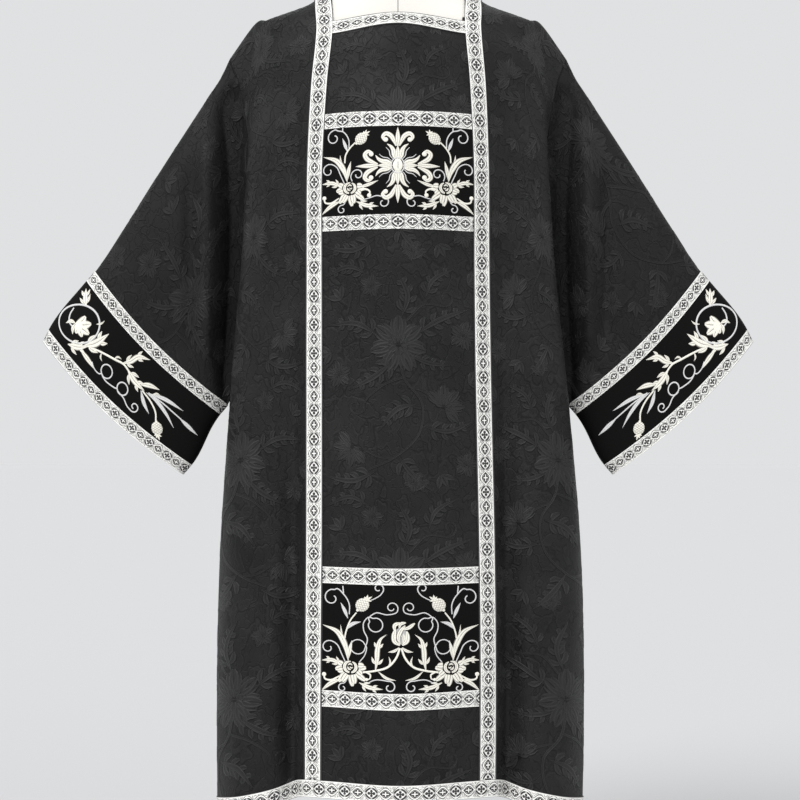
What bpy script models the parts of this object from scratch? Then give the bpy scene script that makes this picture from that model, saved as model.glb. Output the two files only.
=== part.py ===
"""A black silk dalmatic with silver braid, shown on a limbless dress form.
Metres, +Z up. The front faces -Y and the left sleeve in the picture is on -X."""
import bpy
import numpy as np

# Thicknesses and gaps
CLOTH_WALL = 0.0016
BRAID_WALL = 0.0010
SKIN_GAP = 0.0003
HALF_SEAM = 0.00015
ARMHOLE_GAP = 0.0004
FOLD_HALF = 0.005
FORM_CLEAR = 0.0006

# Stand
BASE_RADIUS = 0.190
BASE_HEIGHT = 0.014
POLE_RADIUS = 0.0125
FORM_BOTTOM = 0.800
NECK_TOP = 1.530

# Half of the front's key columns, from the centre to the side seam or armhole.
# along: rough distance over the cloth; parts: mesh steps up to the next key column.
COLUMN_NAMES = ("centre", "braid_in", "braid_out", "valley", "rise", "crest", "edge", "seam")
COLUMN_ALONG = (0.0, 0.112, 0.138, 0.166, 0.195, 0.238, 0.290, 0.330)
FRONT_PARTS = (5, 1, 2, 2, 2, 3, 3)
BACK_PARTS = (3, 1, 1, 1, 2, 2, 3)

# Key rows of the front, from the hem up. level: height at the centre.
# x and y of each key column, then how far its height is below the level.
FRONT_ROWS = (
    # level,
    # x of: centre, braid_in, braid_out, valley, rise, crest, edge, seam
    # y of the same columns
    # drop of the same columns
    (0.2645,
     (0, 0.1125, 0.1382, 0.1560, 0.1840, 0.2310, 0.2700, 0.2695),
     (-0.150, -0.111, -0.098, -0.067, -0.088, -0.082, -0.026, 0),
     (0, 0.0005, 0.0015, 0.010, 0.0175, 0.030, 0.0435, 0.047)),
    (0.3600,
     (0, 0.1128, 0.1388, 0.1565, 0.1850, 0.2320, 0.2715, 0.2710),
     (-0.148, -0.109, -0.096, -0.066, -0.086, -0.080, -0.026, 0),
     (0, 0, 0.001, 0.008, 0.014, 0.023, 0.033, 0.036)),
    (0.5000,
     (0, 0.1125, 0.1385, 0.1565, 0.1850, 0.2300, 0.2710, 0.2705),
     (-0.145, -0.106, -0.093, -0.067, -0.083, -0.078, -0.025, 0),
     (0, 0, 0, 0.004, 0.008, 0.014, 0.020, 0.022)),
    (0.6400,
     (0, 0.1115, 0.1370, 0.1560, 0.1840, 0.2260, 0.2660, 0.2640),
     (-0.142, -0.103, -0.091, -0.068, -0.080, -0.075, -0.027, 0),
     (0, 0, 0, 0.002, 0.004, 0.006, 0.010, 0.011)),
    (0.7800,
     (0, 0.1100, 0.1355, 0.1560, 0.1830, 0.2190, 0.2545, 0.2430),
     (-0.140, -0.101, -0.089, -0.071, -0.077, -0.074, -0.038, 0),
     (0, 0, 0, 0, 0, 0, 0.002, 0.003)),
    (0.9000,
     (0, 0.1090, 0.1345, 0.1560, 0.1820, 0.2130, 0.2430, 0.2130),
     (-0.139, -0.099, -0.087, -0.073, -0.073, -0.074, -0.050, 0),
     (0, 0, 0, 0, 0, 0, 0, 0)),
    (1.0300,
     (0, 0.1085, 0.1335, 0.1550, 0.1800, 0.2070, 0.2310, 0.2200),
     (-0.138, -0.098, -0.085, -0.073, -0.070, -0.072, -0.053, 0),
     (0, 0, 0, 0, 0, 0, 0, 0)),
    (1.1800,
     (0, 0.1085, 0.1330, 0.1550, 0.1780, 0.2000, 0.2235, 0.2130),
     (-0.134, -0.096, -0.083, -0.071, -0.066, -0.066, -0.053, -0.029),
     (0, 0, 0, 0.002, 0.006, 0.015, 0.030, 0.038)),
    (1.3000,
     (0, 0.1050, 0.1290, 0.1505, 0.1750, 0.1985, 0.2190, 0.2225),
     (-0.114, -0.089, -0.080, -0.070, -0.061, -0.053, -0.042, -0.028),
     (0, 0.001, 0.003, 0.007, 0.012, 0.026, 0.050, 0.069)),
    (1.4008,
     (0, 0.0985, 0.1220, 0.1480, 0.1730, 0.1975, 0.2180, 0.2390),
     (-0.080, -0.062, -0.056, -0.050, -0.043, -0.034, -0.026, -0.014),
     (0, 0.0095, 0.0115, 0.018, 0.027, 0.045, 0.067, 0.084)),
    (1.4520,
     (0, 0.1000, 0.1245, 0.1480, 0.1710, 0.1950, 0.2165, 0.2520),
     (0, 0, 0, 0, 0, 0, 0, 0),
     (0, 0.001, 0.0175, 0.0295, 0.0372, 0.0450, 0.0535, 0.1035)),
)

# The skirt hangs a little to the +X side: level and sideways shift.
LEAN = ((0.2645, 0.0030), (0.5000, 0.0038), (0.6400, 0.0034), (0.7800, 0.0020), (0.9000, 0.0008),
        (1.0300, 0.0), (1.4520, 0.0))

# Depths of the back's columns at the same levels, in the same order.
BACK_DEPTHS = (
    (0.2645, (0.132, 0.110, 0.102, 0.092, 0.087, 0.076, 0.030, 0)),
    (0.3600, (0.131, 0.109, 0.101, 0.091, 0.086, 0.075, 0.030, 0)),
    (0.5000, (0.129, 0.107, 0.099, 0.089, 0.084, 0.073, 0.029, 0)),
    (0.6400, (0.127, 0.105, 0.097, 0.087, 0.082, 0.071, 0.029, 0)),
    (0.7800, (0.126, 0.103, 0.094, 0.084, 0.079, 0.070, 0.036, 0)),
    (0.9000, (0.125, 0.101, 0.090, 0.080, 0.075, 0.068, 0.046, 0)),
    (1.0300, (0.124, 0.099, 0.088, 0.078, 0.073, 0.067, 0.050, 0)),
    (1.1800, (0.122, 0.097, 0.087, 0.078, 0.072, 0.066, 0.052, 0.029)),
    (1.3000, (0.108, 0.092, 0.084, 0.077, 0.069, 0.058, 0.045, 0.028)),
    (1.4008, (0.080, 0.066, 0.061, 0.055, 0.047, 0.037, 0.027, 0.014)),
    (1.4520, (0, 0, 0, 0, 0, 0, 0, 0)),
)

# Mesh rows: heights at the centre. Braid edges are rows of their own.
HEM = 0.2645
HEM_BRAID_TOP = 0.2894
LOW_BAND_BOTTOM = (0.3953, 0.4189)
LOW_BAND_TOP = (0.5726, 0.5962)
UNDERARM = 1.0300
HIGH_BAND_BOTTOM = (1.0798, 1.1009)
HIGH_BAND_TOP = (1.2277, 1.2495)
NECK_BRAID = (1.3802, 1.4008)
SHOULDER = 1.4520
LEVELS = (
    HEM, HEM_BRAID_TOP, 0.3240, 0.3590, LOW_BAND_BOTTOM[0], LOW_BAND_BOTTOM[1],
    0.4570, 0.4955, 0.5340, LOW_BAND_TOP[0], LOW_BAND_TOP[1], 0.6500, 0.7100,
    0.7650, 0.8200, 0.8750, 0.9300, 0.9800, UNDERARM, HIGH_BAND_BOTTOM[0],
    HIGH_BAND_BOTTOM[1], 1.1430, 1.1850, HIGH_BAND_TOP[0], HIGH_BAND_TOP[1],
    1.2900, 1.3350, NECK_BRAID[0], NECK_BRAID[1], 1.4210, 1.4370, 1.4465, SHOULDER,
)
UNDERARM_ROW = LEVELS.index(UNDERARM)
NECK_ROW = LEVELS.index(NECK_BRAID[1])

# Sleeve stations from the armhole to the cuff. The top and bottom folds lie in
# the plane y = 0. along: 0 at the armhole, 1 at the cuff. deep: half thickness.
# bow: how far the middle of the section is pushed towards the cuff.
SLEEVE_STATIONS = (
    # along, top x, top z, bottom x, bottom z, deep, bow
    (0.00, 0.2520, 1.3485, 0.2200, 1.0300, 0.030, 0.000),
    (0.08, 0.2680, 1.3150, 0.2245, 1.0080, 0.031, 0.000),
    (0.18, 0.2940, 1.2740, 0.2300, 0.9780, 0.036, 0.000),
    (0.36, 0.3510, 1.1885, 0.2390, 0.9300, 0.038, 0.003),
    (0.54, 0.4080, 1.0985, 0.2470, 0.8800, 0.036, 0.006),
    (0.68, 0.4533, 1.0304, 0.2558, 0.8306, 0.032, 0.010),
    (0.72, 0.4659, 1.0154, 0.2673, 0.8168, 0.031, 0.010),
    (0.95, 0.5222, 0.9431, 0.3098, 0.7415, 0.027, 0.011),
    (1.00, 0.5313, 0.9248, 0.3225, 0.7265, 0.027, 0.011),
)
SLEEVE_STEPS = (0.0, 0.05, 0.11, 0.18, 0.27, 0.36, 0.45, 0.54, 0.61, 0.68, 0.72, 0.83, 0.95, 1.0)
BAND_INNER = SLEEVE_STEPS.index(0.68)
BAND_START = SLEEVE_STEPS.index(0.72)
BAND_END = SLEEVE_STEPS.index(0.95)

# Upright folds of the sleeve, by their distance from the garment's centre.
SLEEVE_FOLDS = (
    # x, half width, height outwards, lowest z, highest z
    (0.250, 0.013, -0.017, 0.85, 1.26),
    (0.282, 0.012, 0.010, 0.88, 1.24),
    (0.309, 0.009, -0.007, 0.90, 1.20),
)

# Dress form: half width, depth in front and depth behind at each height.
FORM_ROWS = (
    # z, half width, front, back
    (0.800, 0.160, 0.108, 0.100),
    (0.850, 0.168, 0.114, 0.106),
    (0.940, 0.166, 0.112, 0.106),
    (1.050, 0.132, 0.096, 0.088),
    (1.120, 0.142, 0.106, 0.094),
    (1.190, 0.157, 0.114, 0.102),
    (1.260, 0.168, 0.108, 0.103),
    (1.310, 0.179, 0.096, 0.096),
    (1.350, 0.193, 0.080, 0.084),
    (1.380, 0.203, 0.070, 0.074),
    (1.3920, 0.2060, 0.0650, 0.0690),
    (1.3992, 0.2035, 0.0620, 0.0660),
    (1.4045, 0.1925, 0.0600, 0.0640),
    (1.4093, 0.1790, 0.0580, 0.0620),
    (1.4165, 0.1580, 0.0560, 0.0600),
    (1.4236, 0.1395, 0.0540, 0.0580),
    (1.4350, 0.1200, 0.0520, 0.0560),
    (1.4470, 0.1045, 0.0500, 0.0540),
    (1.4600, 0.0890, 0.0490, 0.0530),
    (1.4760, 0.0740, 0.0480, 0.0520),
    (1.5000, 0.0620, 0.0470, 0.0510),
    (NECK_TOP, 0.0580, 0.0460, 0.0500),
)
FORM_SIDES = 38

# Colours: linear red, green, blue
SILK = (0.012, 0.011, 0.012)
BRAID = (0.55, 0.53, 0.47)
GROUND = (0.016, 0.013, 0.012)
COVER = (0.78, 0.75, 0.68)
METAL = (0.30, 0.30, 0.31)
CAP_WOOD = (0.10, 0.055, 0.030)


def clear_scene():
    for item in list(bpy.data.objects):
        bpy.data.objects.remove(item, do_unlink=True)


def material(name, colour, rough, metallic=0.0):
    made = bpy.data.materials.get(name)
    if made is None:
        made = bpy.data.materials.new(name)
        made.use_nodes = True
        shader = made.node_tree.nodes["Principled BSDF"]
        shader.inputs["Base Color"].default_value = (*colour, 1.0)
        shader.inputs["Roughness"].default_value = rough
        shader.inputs["Metallic"].default_value = metallic
    return made


def add_object(name, points, faces, made):
    mesh = bpy.data.meshes.new(name)
    mesh.from_pydata([tuple(map(float, p)) for p in points], [], faces)
    mesh.update()
    item = bpy.data.objects.new(name, mesh)
    item.data.materials.append(made)
    bpy.context.scene.collection.objects.link(item)
    return item


def curve(knots, values, wanted):
    """Smooth curve through values at knots, with slopes from the neighbours."""
    knots = np.asarray(knots, float)
    values = np.asarray(values, float)
    wanted = np.clip(np.asarray(wanted, float), knots[0], knots[-1])
    steps = np.diff(knots)
    shape = (-1,) + (1,) * (values.ndim - 1)
    lines = np.diff(values, axis=0) / steps.reshape(shape)
    slopes = np.empty_like(values)
    slopes[0] = lines[0]
    slopes[-1] = lines[-1]
    before = steps[:-1].reshape(shape)
    after = steps[1:].reshape(shape)
    slopes[1:-1] = (lines[:-1] * after + lines[1:] * before) / (before + after)
    place = np.clip(np.searchsorted(knots, wanted, side="right") - 1, 0, len(knots) - 2)
    step = steps[place].reshape(shape)
    t = ((wanted - knots[place]) / steps[place]).reshape(shape)
    start = values[place]
    end = values[place + 1]
    return (start * (1 + 2 * t) * (1 - t) ** 2 + slopes[place] * step * t * (1 - t) ** 2
            + end * t * t * (3 - 2 * t) + slopes[place + 1] * step * t * t * (t - 1))


def form_size(height):
    """Half width, front depth and back depth of the dress form at a height."""
    table = np.array(FORM_ROWS)
    return curve(table[:, 0], table[:, 1:], np.atleast_1d(height))


def form_gap(points):
    """Rough distance of points from the form, and the way out of it."""
    def level(p):
        size = form_size(p[:, 2])
        depth = np.where(p[:, 1] < 0, size[:, 1], size[:, 2])
        return np.hypot(p[:, 0] / size[:, 0], p[:, 1] / depth)

    tiny = 0.0004
    slope = np.stack([(level(points + tiny * axis) - level(points - tiny * axis)) / (2 * tiny)
                      for axis in np.eye(3)], axis=1)
    size = np.maximum(np.linalg.norm(slope, axis=1, keepdims=True), 1e-6)
    return (level(points) - 1) / size[:, 0], slope / size


def push_off_form(grid, clear):
    """Move a grid's points out until its facets keep the clearance from the form."""
    made = grid.copy()
    cell = (slice(None, -1), slice(None, -1))
    corners = ((0, 0), (0, 1), (1, 1), (1, 0))
    mixes = [(1, 0, 0, 0), (0, 1, 0, 0), (0, 0, 1, 0), (0, 0, 0, 1), (0.5, 0, 0.5, 0),
             (0.5, 0.5, 0, 0), (0, 0.5, 0.5, 0), (0, 0, 0.5, 0.5), (0.5, 0, 0, 0.5),
             (0.34, 0.33, 0.33, 0), (0.34, 0, 0.33, 0.33)]
    for _ in range(60):
        pieces = [made[a:a + made.shape[0] - 1, b:b + made.shape[1] - 1] for a, b in corners]
        total = np.zeros_like(made)
        for mix in mixes:
            point = sum(share * piece for share, piece in zip(mix, pieces))
            gap, out = form_gap(point.reshape(-1, 3))
            move = np.clip(clear - gap, 0, 0.003)[:, None] * out
            move = move.reshape(point.shape)
            for share, (a, b) in zip(mix, corners):
                if share:
                    here = total[a:a + made.shape[0] - 1, b:b + made.shape[1] - 1]
                    larger = np.abs(move) > np.abs(here)
                    here[larger] = move[larger]
        if np.abs(total).max() < 2e-5:
            break
        made += 0.6 * total
    return made


def column_places(parts):
    """Places of all the mesh columns from seam to seam, and where the key columns are."""
    half = [0.0]
    keys = [0]
    for index, count in enumerate(parts):
        start, end = COLUMN_ALONG[index], COLUMN_ALONG[index + 1]
        half += [start + (end - start) * (k + 1) / count for k in range(count)]
        keys.append(len(half) - 1)
    middle = len(half) - 1
    whole = [-a for a in half[:0:-1]] + half
    return np.array(whole), middle, {n: k for n, k in zip(COLUMN_NAMES, keys)}


def mirrored(values, sign):
    values = np.asarray(values, float)
    return np.concatenate([sign * values[:0:-1], values])


def panel_grid(depths, parts, side):
    """Outer face of the front (side -1) or back (side 1) as rows of points."""
    places, middle, keys = column_places(parts)
    along = mirrored(COLUMN_ALONG, -1)
    key_points = []
    for (level, xs, _, drops), ys in zip(FRONT_ROWS, depths):
        key_points.append(np.stack([
            mirrored(xs, -1), mirrored(ys, 1), level - mirrored(drops, 1)], axis=1))
    key_points = np.array(key_points)
    rows = curve([row[0] for row in FRONT_ROWS], key_points, LEVELS)
    grid = np.swapaxes(curve(along, np.swapaxes(rows, 0, 1), places), 0, 1)
    lean = curve([row[0] for row in LEAN], [row[1] for row in LEAN], LEVELS)
    grid[..., 0] += lean[:, None]
    for row in range(NECK_ROW + 1, len(LEVELS)):
        share = (SHOULDER - LEVELS[row]) / (SHOULDER - LEVELS[NECK_ROW])
        grid[row, :, 1] = grid[NECK_ROW, :, 1] * share ** 0.5
    grid = np.concatenate([grid[:UNDERARM_ROW], push_off_form(grid[UNDERARM_ROW:], CLOTH_WALL + FORM_CLEAR)])
    grid[-1, :, 1] = 0
    for end in (0, -1):
        grid[:UNDERARM_ROW + 1, end, 1] = 0
    grid[..., 1] = np.where(side < 0, np.minimum(grid[..., 1], -HALF_SEAM),
                            np.maximum(grid[..., 1], HALF_SEAM))
    return grid, middle, keys


def grid_normals(grid, outward, closed=False):
    """Unit normals at the grid's points, turned to the side that outward points to."""
    if closed:
        across = np.roll(grid, -1, axis=1) - np.roll(grid, 1, axis=1)
    else:
        across = np.gradient(grid, axis=1)
    up = np.gradient(grid, axis=0)
    normal = np.cross(across, up)
    normal /= np.maximum(np.linalg.norm(normal, axis=2, keepdims=True), 1e-12)
    return normal * outward


def closed_sheet(name, outer, inner, made, keep=None, ring=False, other_from=None):
    """One closed body between two matching grids, without the cells that keep leaves out.
    From the row other_from on, each cell is split along its other diagonal."""
    rows, columns = outer.shape[:2]
    spans = columns if ring else columns - 1
    points = np.concatenate([outer.reshape(-1, 3), inner.reshape(-1, 3)])
    shift = rows * columns
    faces = []
    edges = {}
    for i in range(rows - 1):
        for j in range(spans):
            if keep is not None and not keep[i, j]:
                continue
            a = i * columns + j
            b = i * columns + (j + 1) % columns
            c = (i + 1) * columns + (j + 1) % columns
            d = (i + 1) * columns + j
            halves = ((a, b, c), (a, c, d))
            if other_from is not None and i >= other_from:
                halves = ((a, b, d), (b, c, d))
            for face in halves:
                faces.append(face)
                faces.append(tuple(k + shift for k in face[::-1]))
            for edge in ((a, b), (b, c), (c, d), (d, a)):
                if edge[::-1] in edges:
                    del edges[edge[::-1]]
                else:
                    edges[edge] = True
    for a, b in edges:
        faces.append((b, a, a + shift))
        faces.append((b, a + shift, b + shift))
    used = sorted({k for face in faces for k in face})
    number = {k: n for n, k in enumerate(used)}
    points = points[used]
    faces = [tuple(number[k] for k in face) for face in faces]
    corners = points[np.array(faces)]
    volume = np.einsum("ij,ij->i", corners[:, 0], np.cross(corners[:, 1], corners[:, 2])).sum()
    if volume < 0:
        faces = [face[::-1] for face in faces]
    return add_object(name, points, faces, made)


def pulled_in(values, points, amount, low, high, axis):
    """Move the first or last line of a patch in along the surface."""
    made = np.swapaxes(values.copy(), 0, axis)
    guide = np.swapaxes(points, 0, axis)
    for wanted, first, second in ((low, 0, 1), (high, -1, -2)):
        if wanted:
            length = np.linalg.norm(guide[second] - guide[first], axis=-1, keepdims=True)
            share = amount / length
            made[first] = made[first] * (1 - share) + made[second] * share
    return np.swapaxes(made, 0, axis)


def skin(name, grid, normals, rows, columns, made, trims=(0, 0, 0, 0), other_from=None):
    """A braid or band on a panel: the panel's points moved out. trims: bottom, top, left, right."""
    part = grid[rows[0]:rows[1] + 1, columns[0]:columns[1] + 1]
    lift = normals[rows[0]:rows[1] + 1, columns[0]:columns[1] + 1]
    bottom, top, left, right = trims
    points = pulled_in(part, part, HALF_SEAM, bottom, top, 0)
    lifts = pulled_in(lift, part, HALF_SEAM, bottom, top, 0)
    points = pulled_in(points, points, HALF_SEAM, left, right, 1)
    inner = points + lifts * SKIN_GAP
    outer = points + lifts * (SKIN_GAP + BRAID_WALL)
    return closed_sheet(name, outer, inner, made, other_from=other_from)


def sleeve_grid(front, back, side):
    """Outer face of a sleeve as rings of points from the armhole to the cuff."""
    column = -1 if side > 0 else 0
    seam_front = front[UNDERARM_ROW:, column][::-1]
    seam_back = back[UNDERARM_ROW:, column][1:-1]
    seam = np.concatenate([seam_front, seam_back])
    half = len(seam_front) - 1
    inside = column - 1 if side > 0 else column + 1
    beside = np.concatenate([front[UNDERARM_ROW:, inside][::-1], back[UNDERARM_ROW:, inside][1:-1]])
    away = seam - beside
    away /= np.linalg.norm(away, axis=1, keepdims=True)
    away += np.array([side, 0, 0])
    away[half] = (side, 0, 0)
    seam[[0, half], 1] = 0
    away[[0, half], 1] = 0
    away /= np.linalg.norm(away, axis=1, keepdims=True)
    table = np.array(SLEEVE_STATIONS)
    stations = curve(table[:, 0], table[:, 1:], SLEEVE_STEPS)
    turn = np.pi * np.arange(2 * half) / half
    share = (1 - np.cos(turn)) / 2
    deep = np.sign(np.sin(turn)) * np.abs(np.sin(turn)) ** 0.85
    rings = []
    for along, (top_x, top_z, low_x, low_z, depth, bow) in zip(SLEEVE_STEPS, stations):
        line = np.array([low_x - top_x, low_z - top_z])
        out = np.array([-line[1], line[0]]) / np.linalg.norm(line)
        out = -out if out[1] > 0 else out
        ring = np.zeros((2 * half, 3))
        bend = bow * np.sin(np.pi * share)
        ring[:, 0] = top_x + line[0] * share + out[0] * bend
        ring[:, 2] = top_z + line[1] * share + out[1] * bend
        ring[:, 1] = -depth * deep
        ring[:, 0] *= side
        blend = np.clip(along / 0.40, 0, 1)
        blend = blend * blend * (3 - 2 * blend)
        start = seam + away * ARMHOLE_GAP
        way = np.array([side * (top_x - table[0, 1]), 0, top_z - table[0, 2]])
        rings.append((start + way * 0.9 * (1 - blend)) * (1 - blend) + ring * blend)
    grid = np.array(rings)
    distance = np.abs(grid[..., 0])
    for x, width, height, low, high in SLEEVE_FOLDS:
        fade = np.clip((grid[..., 2] - low) / 0.05, 0, 1) * np.clip((high - grid[..., 2]) / 0.05, 0, 1)
        thick = np.abs(grid[..., 1])
        bump = height * np.exp(-((distance - x) / width) ** 2) * fade * np.clip(thick / 0.012, 0, 1)
        bump[0] = 0
        grid[..., 1] = np.sign(grid[..., 1]) * np.maximum(thick + bump, np.minimum(thick, FOLD_HALF))
    return grid, half


def turned(name, profile, sides, made):
    """A solid turned round the Z axis from (radius, height) points, first and last on the axis."""
    turn = 2 * np.pi * np.arange(sides) / sides
    points = [(0.0, 0.0, profile[0][1])]
    for radius, height in profile[1:-1]:
        points += [(radius * np.cos(t), radius * np.sin(t), height) for t in turn]
    points.append((0.0, 0.0, profile[-1][1]))
    last = len(points) - 1
    rings = len(profile) - 2
    faces = []
    for k in range(sides):
        n = (k + 1) % sides
        faces.append((0, 1 + n, 1 + k))
        for r in range(rings - 1):
            a, b = 1 + r * sides + k, 1 + r * sides + n
            faces += [(a, b, b + sides), (a, b + sides, a + sides)]
        top = 1 + (rings - 1) * sides
        faces.append((top + k, top + n, last))
    return add_object(name, points, faces, made)


def form_body(name, heights, made):
    """The dress form's torso between the first and last of the heights."""
    turn = 2 * np.pi * (np.arange(FORM_SIDES) + 0.5) / FORM_SIDES
    points = []
    for z, (width, front, back) in zip(heights, form_size(heights)):
        depth = np.where(np.sin(turn) < 0, front, back)
        points += [(width * np.cos(t), d * np.sin(t), z) for t, d in zip(turn, depth)]
    count = len(heights)
    points += [(0, 0, heights[0]), (0, 0, heights[-1])]
    low, high = len(points) - 2, len(points) - 1
    faces = []
    for k in range(FORM_SIDES):
        n = (k + 1) % FORM_SIDES
        faces.append((low, n, k))
        for r in range(count - 1):
            a, b = r * FORM_SIDES + k, r * FORM_SIDES + n
            faces += [(a, b, b + FORM_SIDES), (a, b + FORM_SIDES, a + FORM_SIDES)]
        top = (count - 1) * FORM_SIDES
        faces.append((top + k, top + n, high))
    return add_object(name, points, faces, made)


def build():
    clear_scene()
    silk = material("silk_damask", SILK, 0.45)
    braid = material("silver_braid", BRAID, 0.5)
    ground = material("embroidered_silk", GROUND, 0.6)
    cover = material("form_cover", COVER, 0.85)
    metal = material("stand_metal", METAL, 0.4, 0.9)
    wood = material("cap_wood", CAP_WOOD, 0.5)

    front, front_mid, front_keys = panel_grid([row[2] for row in FRONT_ROWS], FRONT_PARTS, -1)
    back, back_mid, back_keys = panel_grid([row[1] for row in BACK_DEPTHS], BACK_PARTS, 1)
    panels = (("front", front, front_mid, front_keys, 1), ("back", back, back_mid, back_keys, -1))
    lifts = {}
    for name, grid, middle, keys, outward in panels:
        normals = grid_normals(grid, outward)
        lifts[name] = normals
        inner = grid - normals * CLOTH_WALL
        inner[..., 1] = (np.minimum(inner[..., 1], -HALF_SEAM) if name == "front"
                         else np.maximum(inner[..., 1], HALF_SEAM))
        keep = np.ones((len(LEVELS) - 1, grid.shape[1] - 1), bool)
        opening = keys["braid_in"]
        keep[NECK_ROW:, middle - opening:middle + opening] = False
        closed_sheet(name, grid, inner, silk, keep)

    top_row = len(LEVELS) - 1
    braid_row = LEVELS.index(HEM_BRAID_TOP)
    for side, label in ((-1, "left"), (1, "right")):
        strips = []
        for name, grid, middle, keys, _ in panels:
            ends = sorted((middle + side * keys["braid_in"], middle + side * keys["braid_out"]))
            strips.append((grid[braid_row:, ends[0]:ends[1] + 1], lifts[name][braid_row:, ends[0]:ends[1] + 1]))
        whole = np.concatenate([strips[0][0], strips[1][0][::-1]])
        lift = np.concatenate([strips[0][1], strips[1][1][::-1]])
        peak = top_row - braid_row
        lift[peak] = lift[peak + 1] = (lift[peak] + lift[peak + 1]) / 2
        lift /= np.linalg.norm(lift, axis=2, keepdims=True)
        skin("clavus_" + label, whole, lift, (0, len(whole) - 1), (0, 1), braid, (1, 1, 0, 0), peak + 1)

    inner_edge = front_keys["braid_in"]
    hem_edge = front_keys["braid_out"] + 1
    across = (front_mid - inner_edge, front_mid + inner_edge)
    bands = (
        ("neck_braid_front", NECK_BRAID, braid, 0, 0),
        ("upper_braid_top", HIGH_BAND_TOP, braid, 1, 0),
        ("upper_apparel", (HIGH_BAND_BOTTOM[1], HIGH_BAND_TOP[0]), ground, 1, 1),
        ("upper_braid_bottom", HIGH_BAND_BOTTOM, braid, 0, 1),
        ("lower_braid_top", LOW_BAND_TOP, braid, 1, 0),
        ("lower_apparel", (LOW_BAND_BOTTOM[1], LOW_BAND_TOP[0]), ground, 1, 1),
        ("lower_braid_bottom", LOW_BAND_BOTTOM, braid, 0, 1),
    )
    for name, (low, high), made, trim_low, trim_high in bands:
        rows = (LEVELS.index(low), LEVELS.index(high))
        skin(name, front, lifts["front"], rows, across, made, (trim_low, trim_high, 1, 1))
    skin("hem_braid_front", front, lifts["front"], (0, braid_row),
         (front_mid - hem_edge, front_mid + hem_edge), braid, (0, 1, 1, 1))
    skin("hem_braid_left", front, lifts["front"], (0, braid_row),
         (0, front_mid - hem_edge), braid, (0, 0, 1, 1))
    skin("hem_braid_right", front, lifts["front"], (0, braid_row),
         (front_mid + hem_edge, 2 * front_mid), braid, (0, 0, 1, 1))
    skin("hem_braid_back", back, lifts["back"], (0, braid_row), (0, 2 * back_mid), braid, (0, 1, 1, 1))
    back_edge = back_keys["braid_in"]
    skin("neck_braid_back", back, lifts["back"], (LEVELS.index(NECK_BRAID[0]), NECK_ROW),
         (back_mid - back_edge, back_mid + back_edge), braid, (0, 0, 1, 1))

    for side, label in ((-1, "left"), (1, "right")):
        rings, half = sleeve_grid(front, back, side)
        normals = grid_normals(rings, side, True)
        closed_sheet("sleeve_" + label, rings, rings - normals * CLOTH_WALL, silk, None, True)
        for name, start, end, made in (("sleeve_braid_", BAND_INNER, BAND_START, braid),
                                       ("cuff_band_", BAND_START, BAND_END, ground),
                                       ("cuff_braid_", BAND_END, len(rings) - 1, braid)):
            part = rings[start:end + 1]
            lift = normals[start:end + 1]
            part = pulled_in(part, part, HALF_SEAM, start > BAND_INNER, end < len(rings) - 1, 0)
            closed_sheet(name + label, part + lift * (SKIN_GAP + BRAID_WALL),
                         part + lift * SKIN_GAP, made, None, True)

    heights = [row[0] for row in FORM_ROWS]
    form_body("form_torso", heights, cover)
    turned("neck_cap", ((0, NECK_TOP + SKIN_GAP), (0.040, NECK_TOP + SKIN_GAP), (0.044, NECK_TOP + 0.004),
                        (0.040, NECK_TOP + 0.012), (0.020, NECK_TOP + 0.017), (0, NECK_TOP + 0.018)),
           28, wood)
    turned("pole", ((0, BASE_HEIGHT + SKIN_GAP), (POLE_RADIUS, BASE_HEIGHT + SKIN_GAP),
                    (POLE_RADIUS, FORM_BOTTOM - SKIN_GAP), (0, FORM_BOTTOM - SKIN_GAP)), 24, metal)
    turned("base", ((0, 0), (BASE_RADIUS, 0), (BASE_RADIUS, 0.006), (BASE_RADIUS - 0.004, 0.0095),
                    (0.030, BASE_HEIGHT), (0, BASE_HEIGHT)), 48, metal)


build()
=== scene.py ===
"""Looks of a black silk dalmatic with silver braid on a dress form.
Metres, +Z up. The front faces -Y. Flat designs are drawn in millimetres and laid on the cloth."""

import bmesh
import bpy
import numpy as np
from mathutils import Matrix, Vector

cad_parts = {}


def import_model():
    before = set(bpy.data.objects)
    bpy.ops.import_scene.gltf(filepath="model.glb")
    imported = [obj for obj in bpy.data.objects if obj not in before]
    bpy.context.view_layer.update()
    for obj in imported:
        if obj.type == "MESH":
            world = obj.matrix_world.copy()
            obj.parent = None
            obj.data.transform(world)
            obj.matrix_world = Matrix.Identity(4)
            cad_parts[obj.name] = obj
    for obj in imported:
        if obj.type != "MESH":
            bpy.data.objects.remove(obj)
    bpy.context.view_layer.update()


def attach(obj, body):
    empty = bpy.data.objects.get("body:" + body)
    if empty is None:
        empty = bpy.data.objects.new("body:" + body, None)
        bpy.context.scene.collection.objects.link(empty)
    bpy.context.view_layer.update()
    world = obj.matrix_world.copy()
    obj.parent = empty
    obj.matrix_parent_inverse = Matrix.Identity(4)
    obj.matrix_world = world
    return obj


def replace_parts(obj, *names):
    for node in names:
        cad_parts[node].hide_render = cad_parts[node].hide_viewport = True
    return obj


# Thicknesses and gaps
CLOTH_WALL = 0.0016
BRAID_WALL = 0.0010
SKIN_GAP = 0.0003
HALF_SEAM = 0.00015
ARMHOLE_GAP = 0.0004
FORM_CLEAR = 0.0009
FOLD_HALF = 0.005
FIGURE_GAP = 0.00012
MESH_STEP = 0.0062
RIDGE_ROWS = 12
TURNED_SIDES = 128
FORM_SIDES = 120

# Pushing cloth off the form: step for slopes, rounds, and the longest push in one round
TINY = 0.0004
PUSHES = 4
LONGEST_PUSH = 0.004

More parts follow.
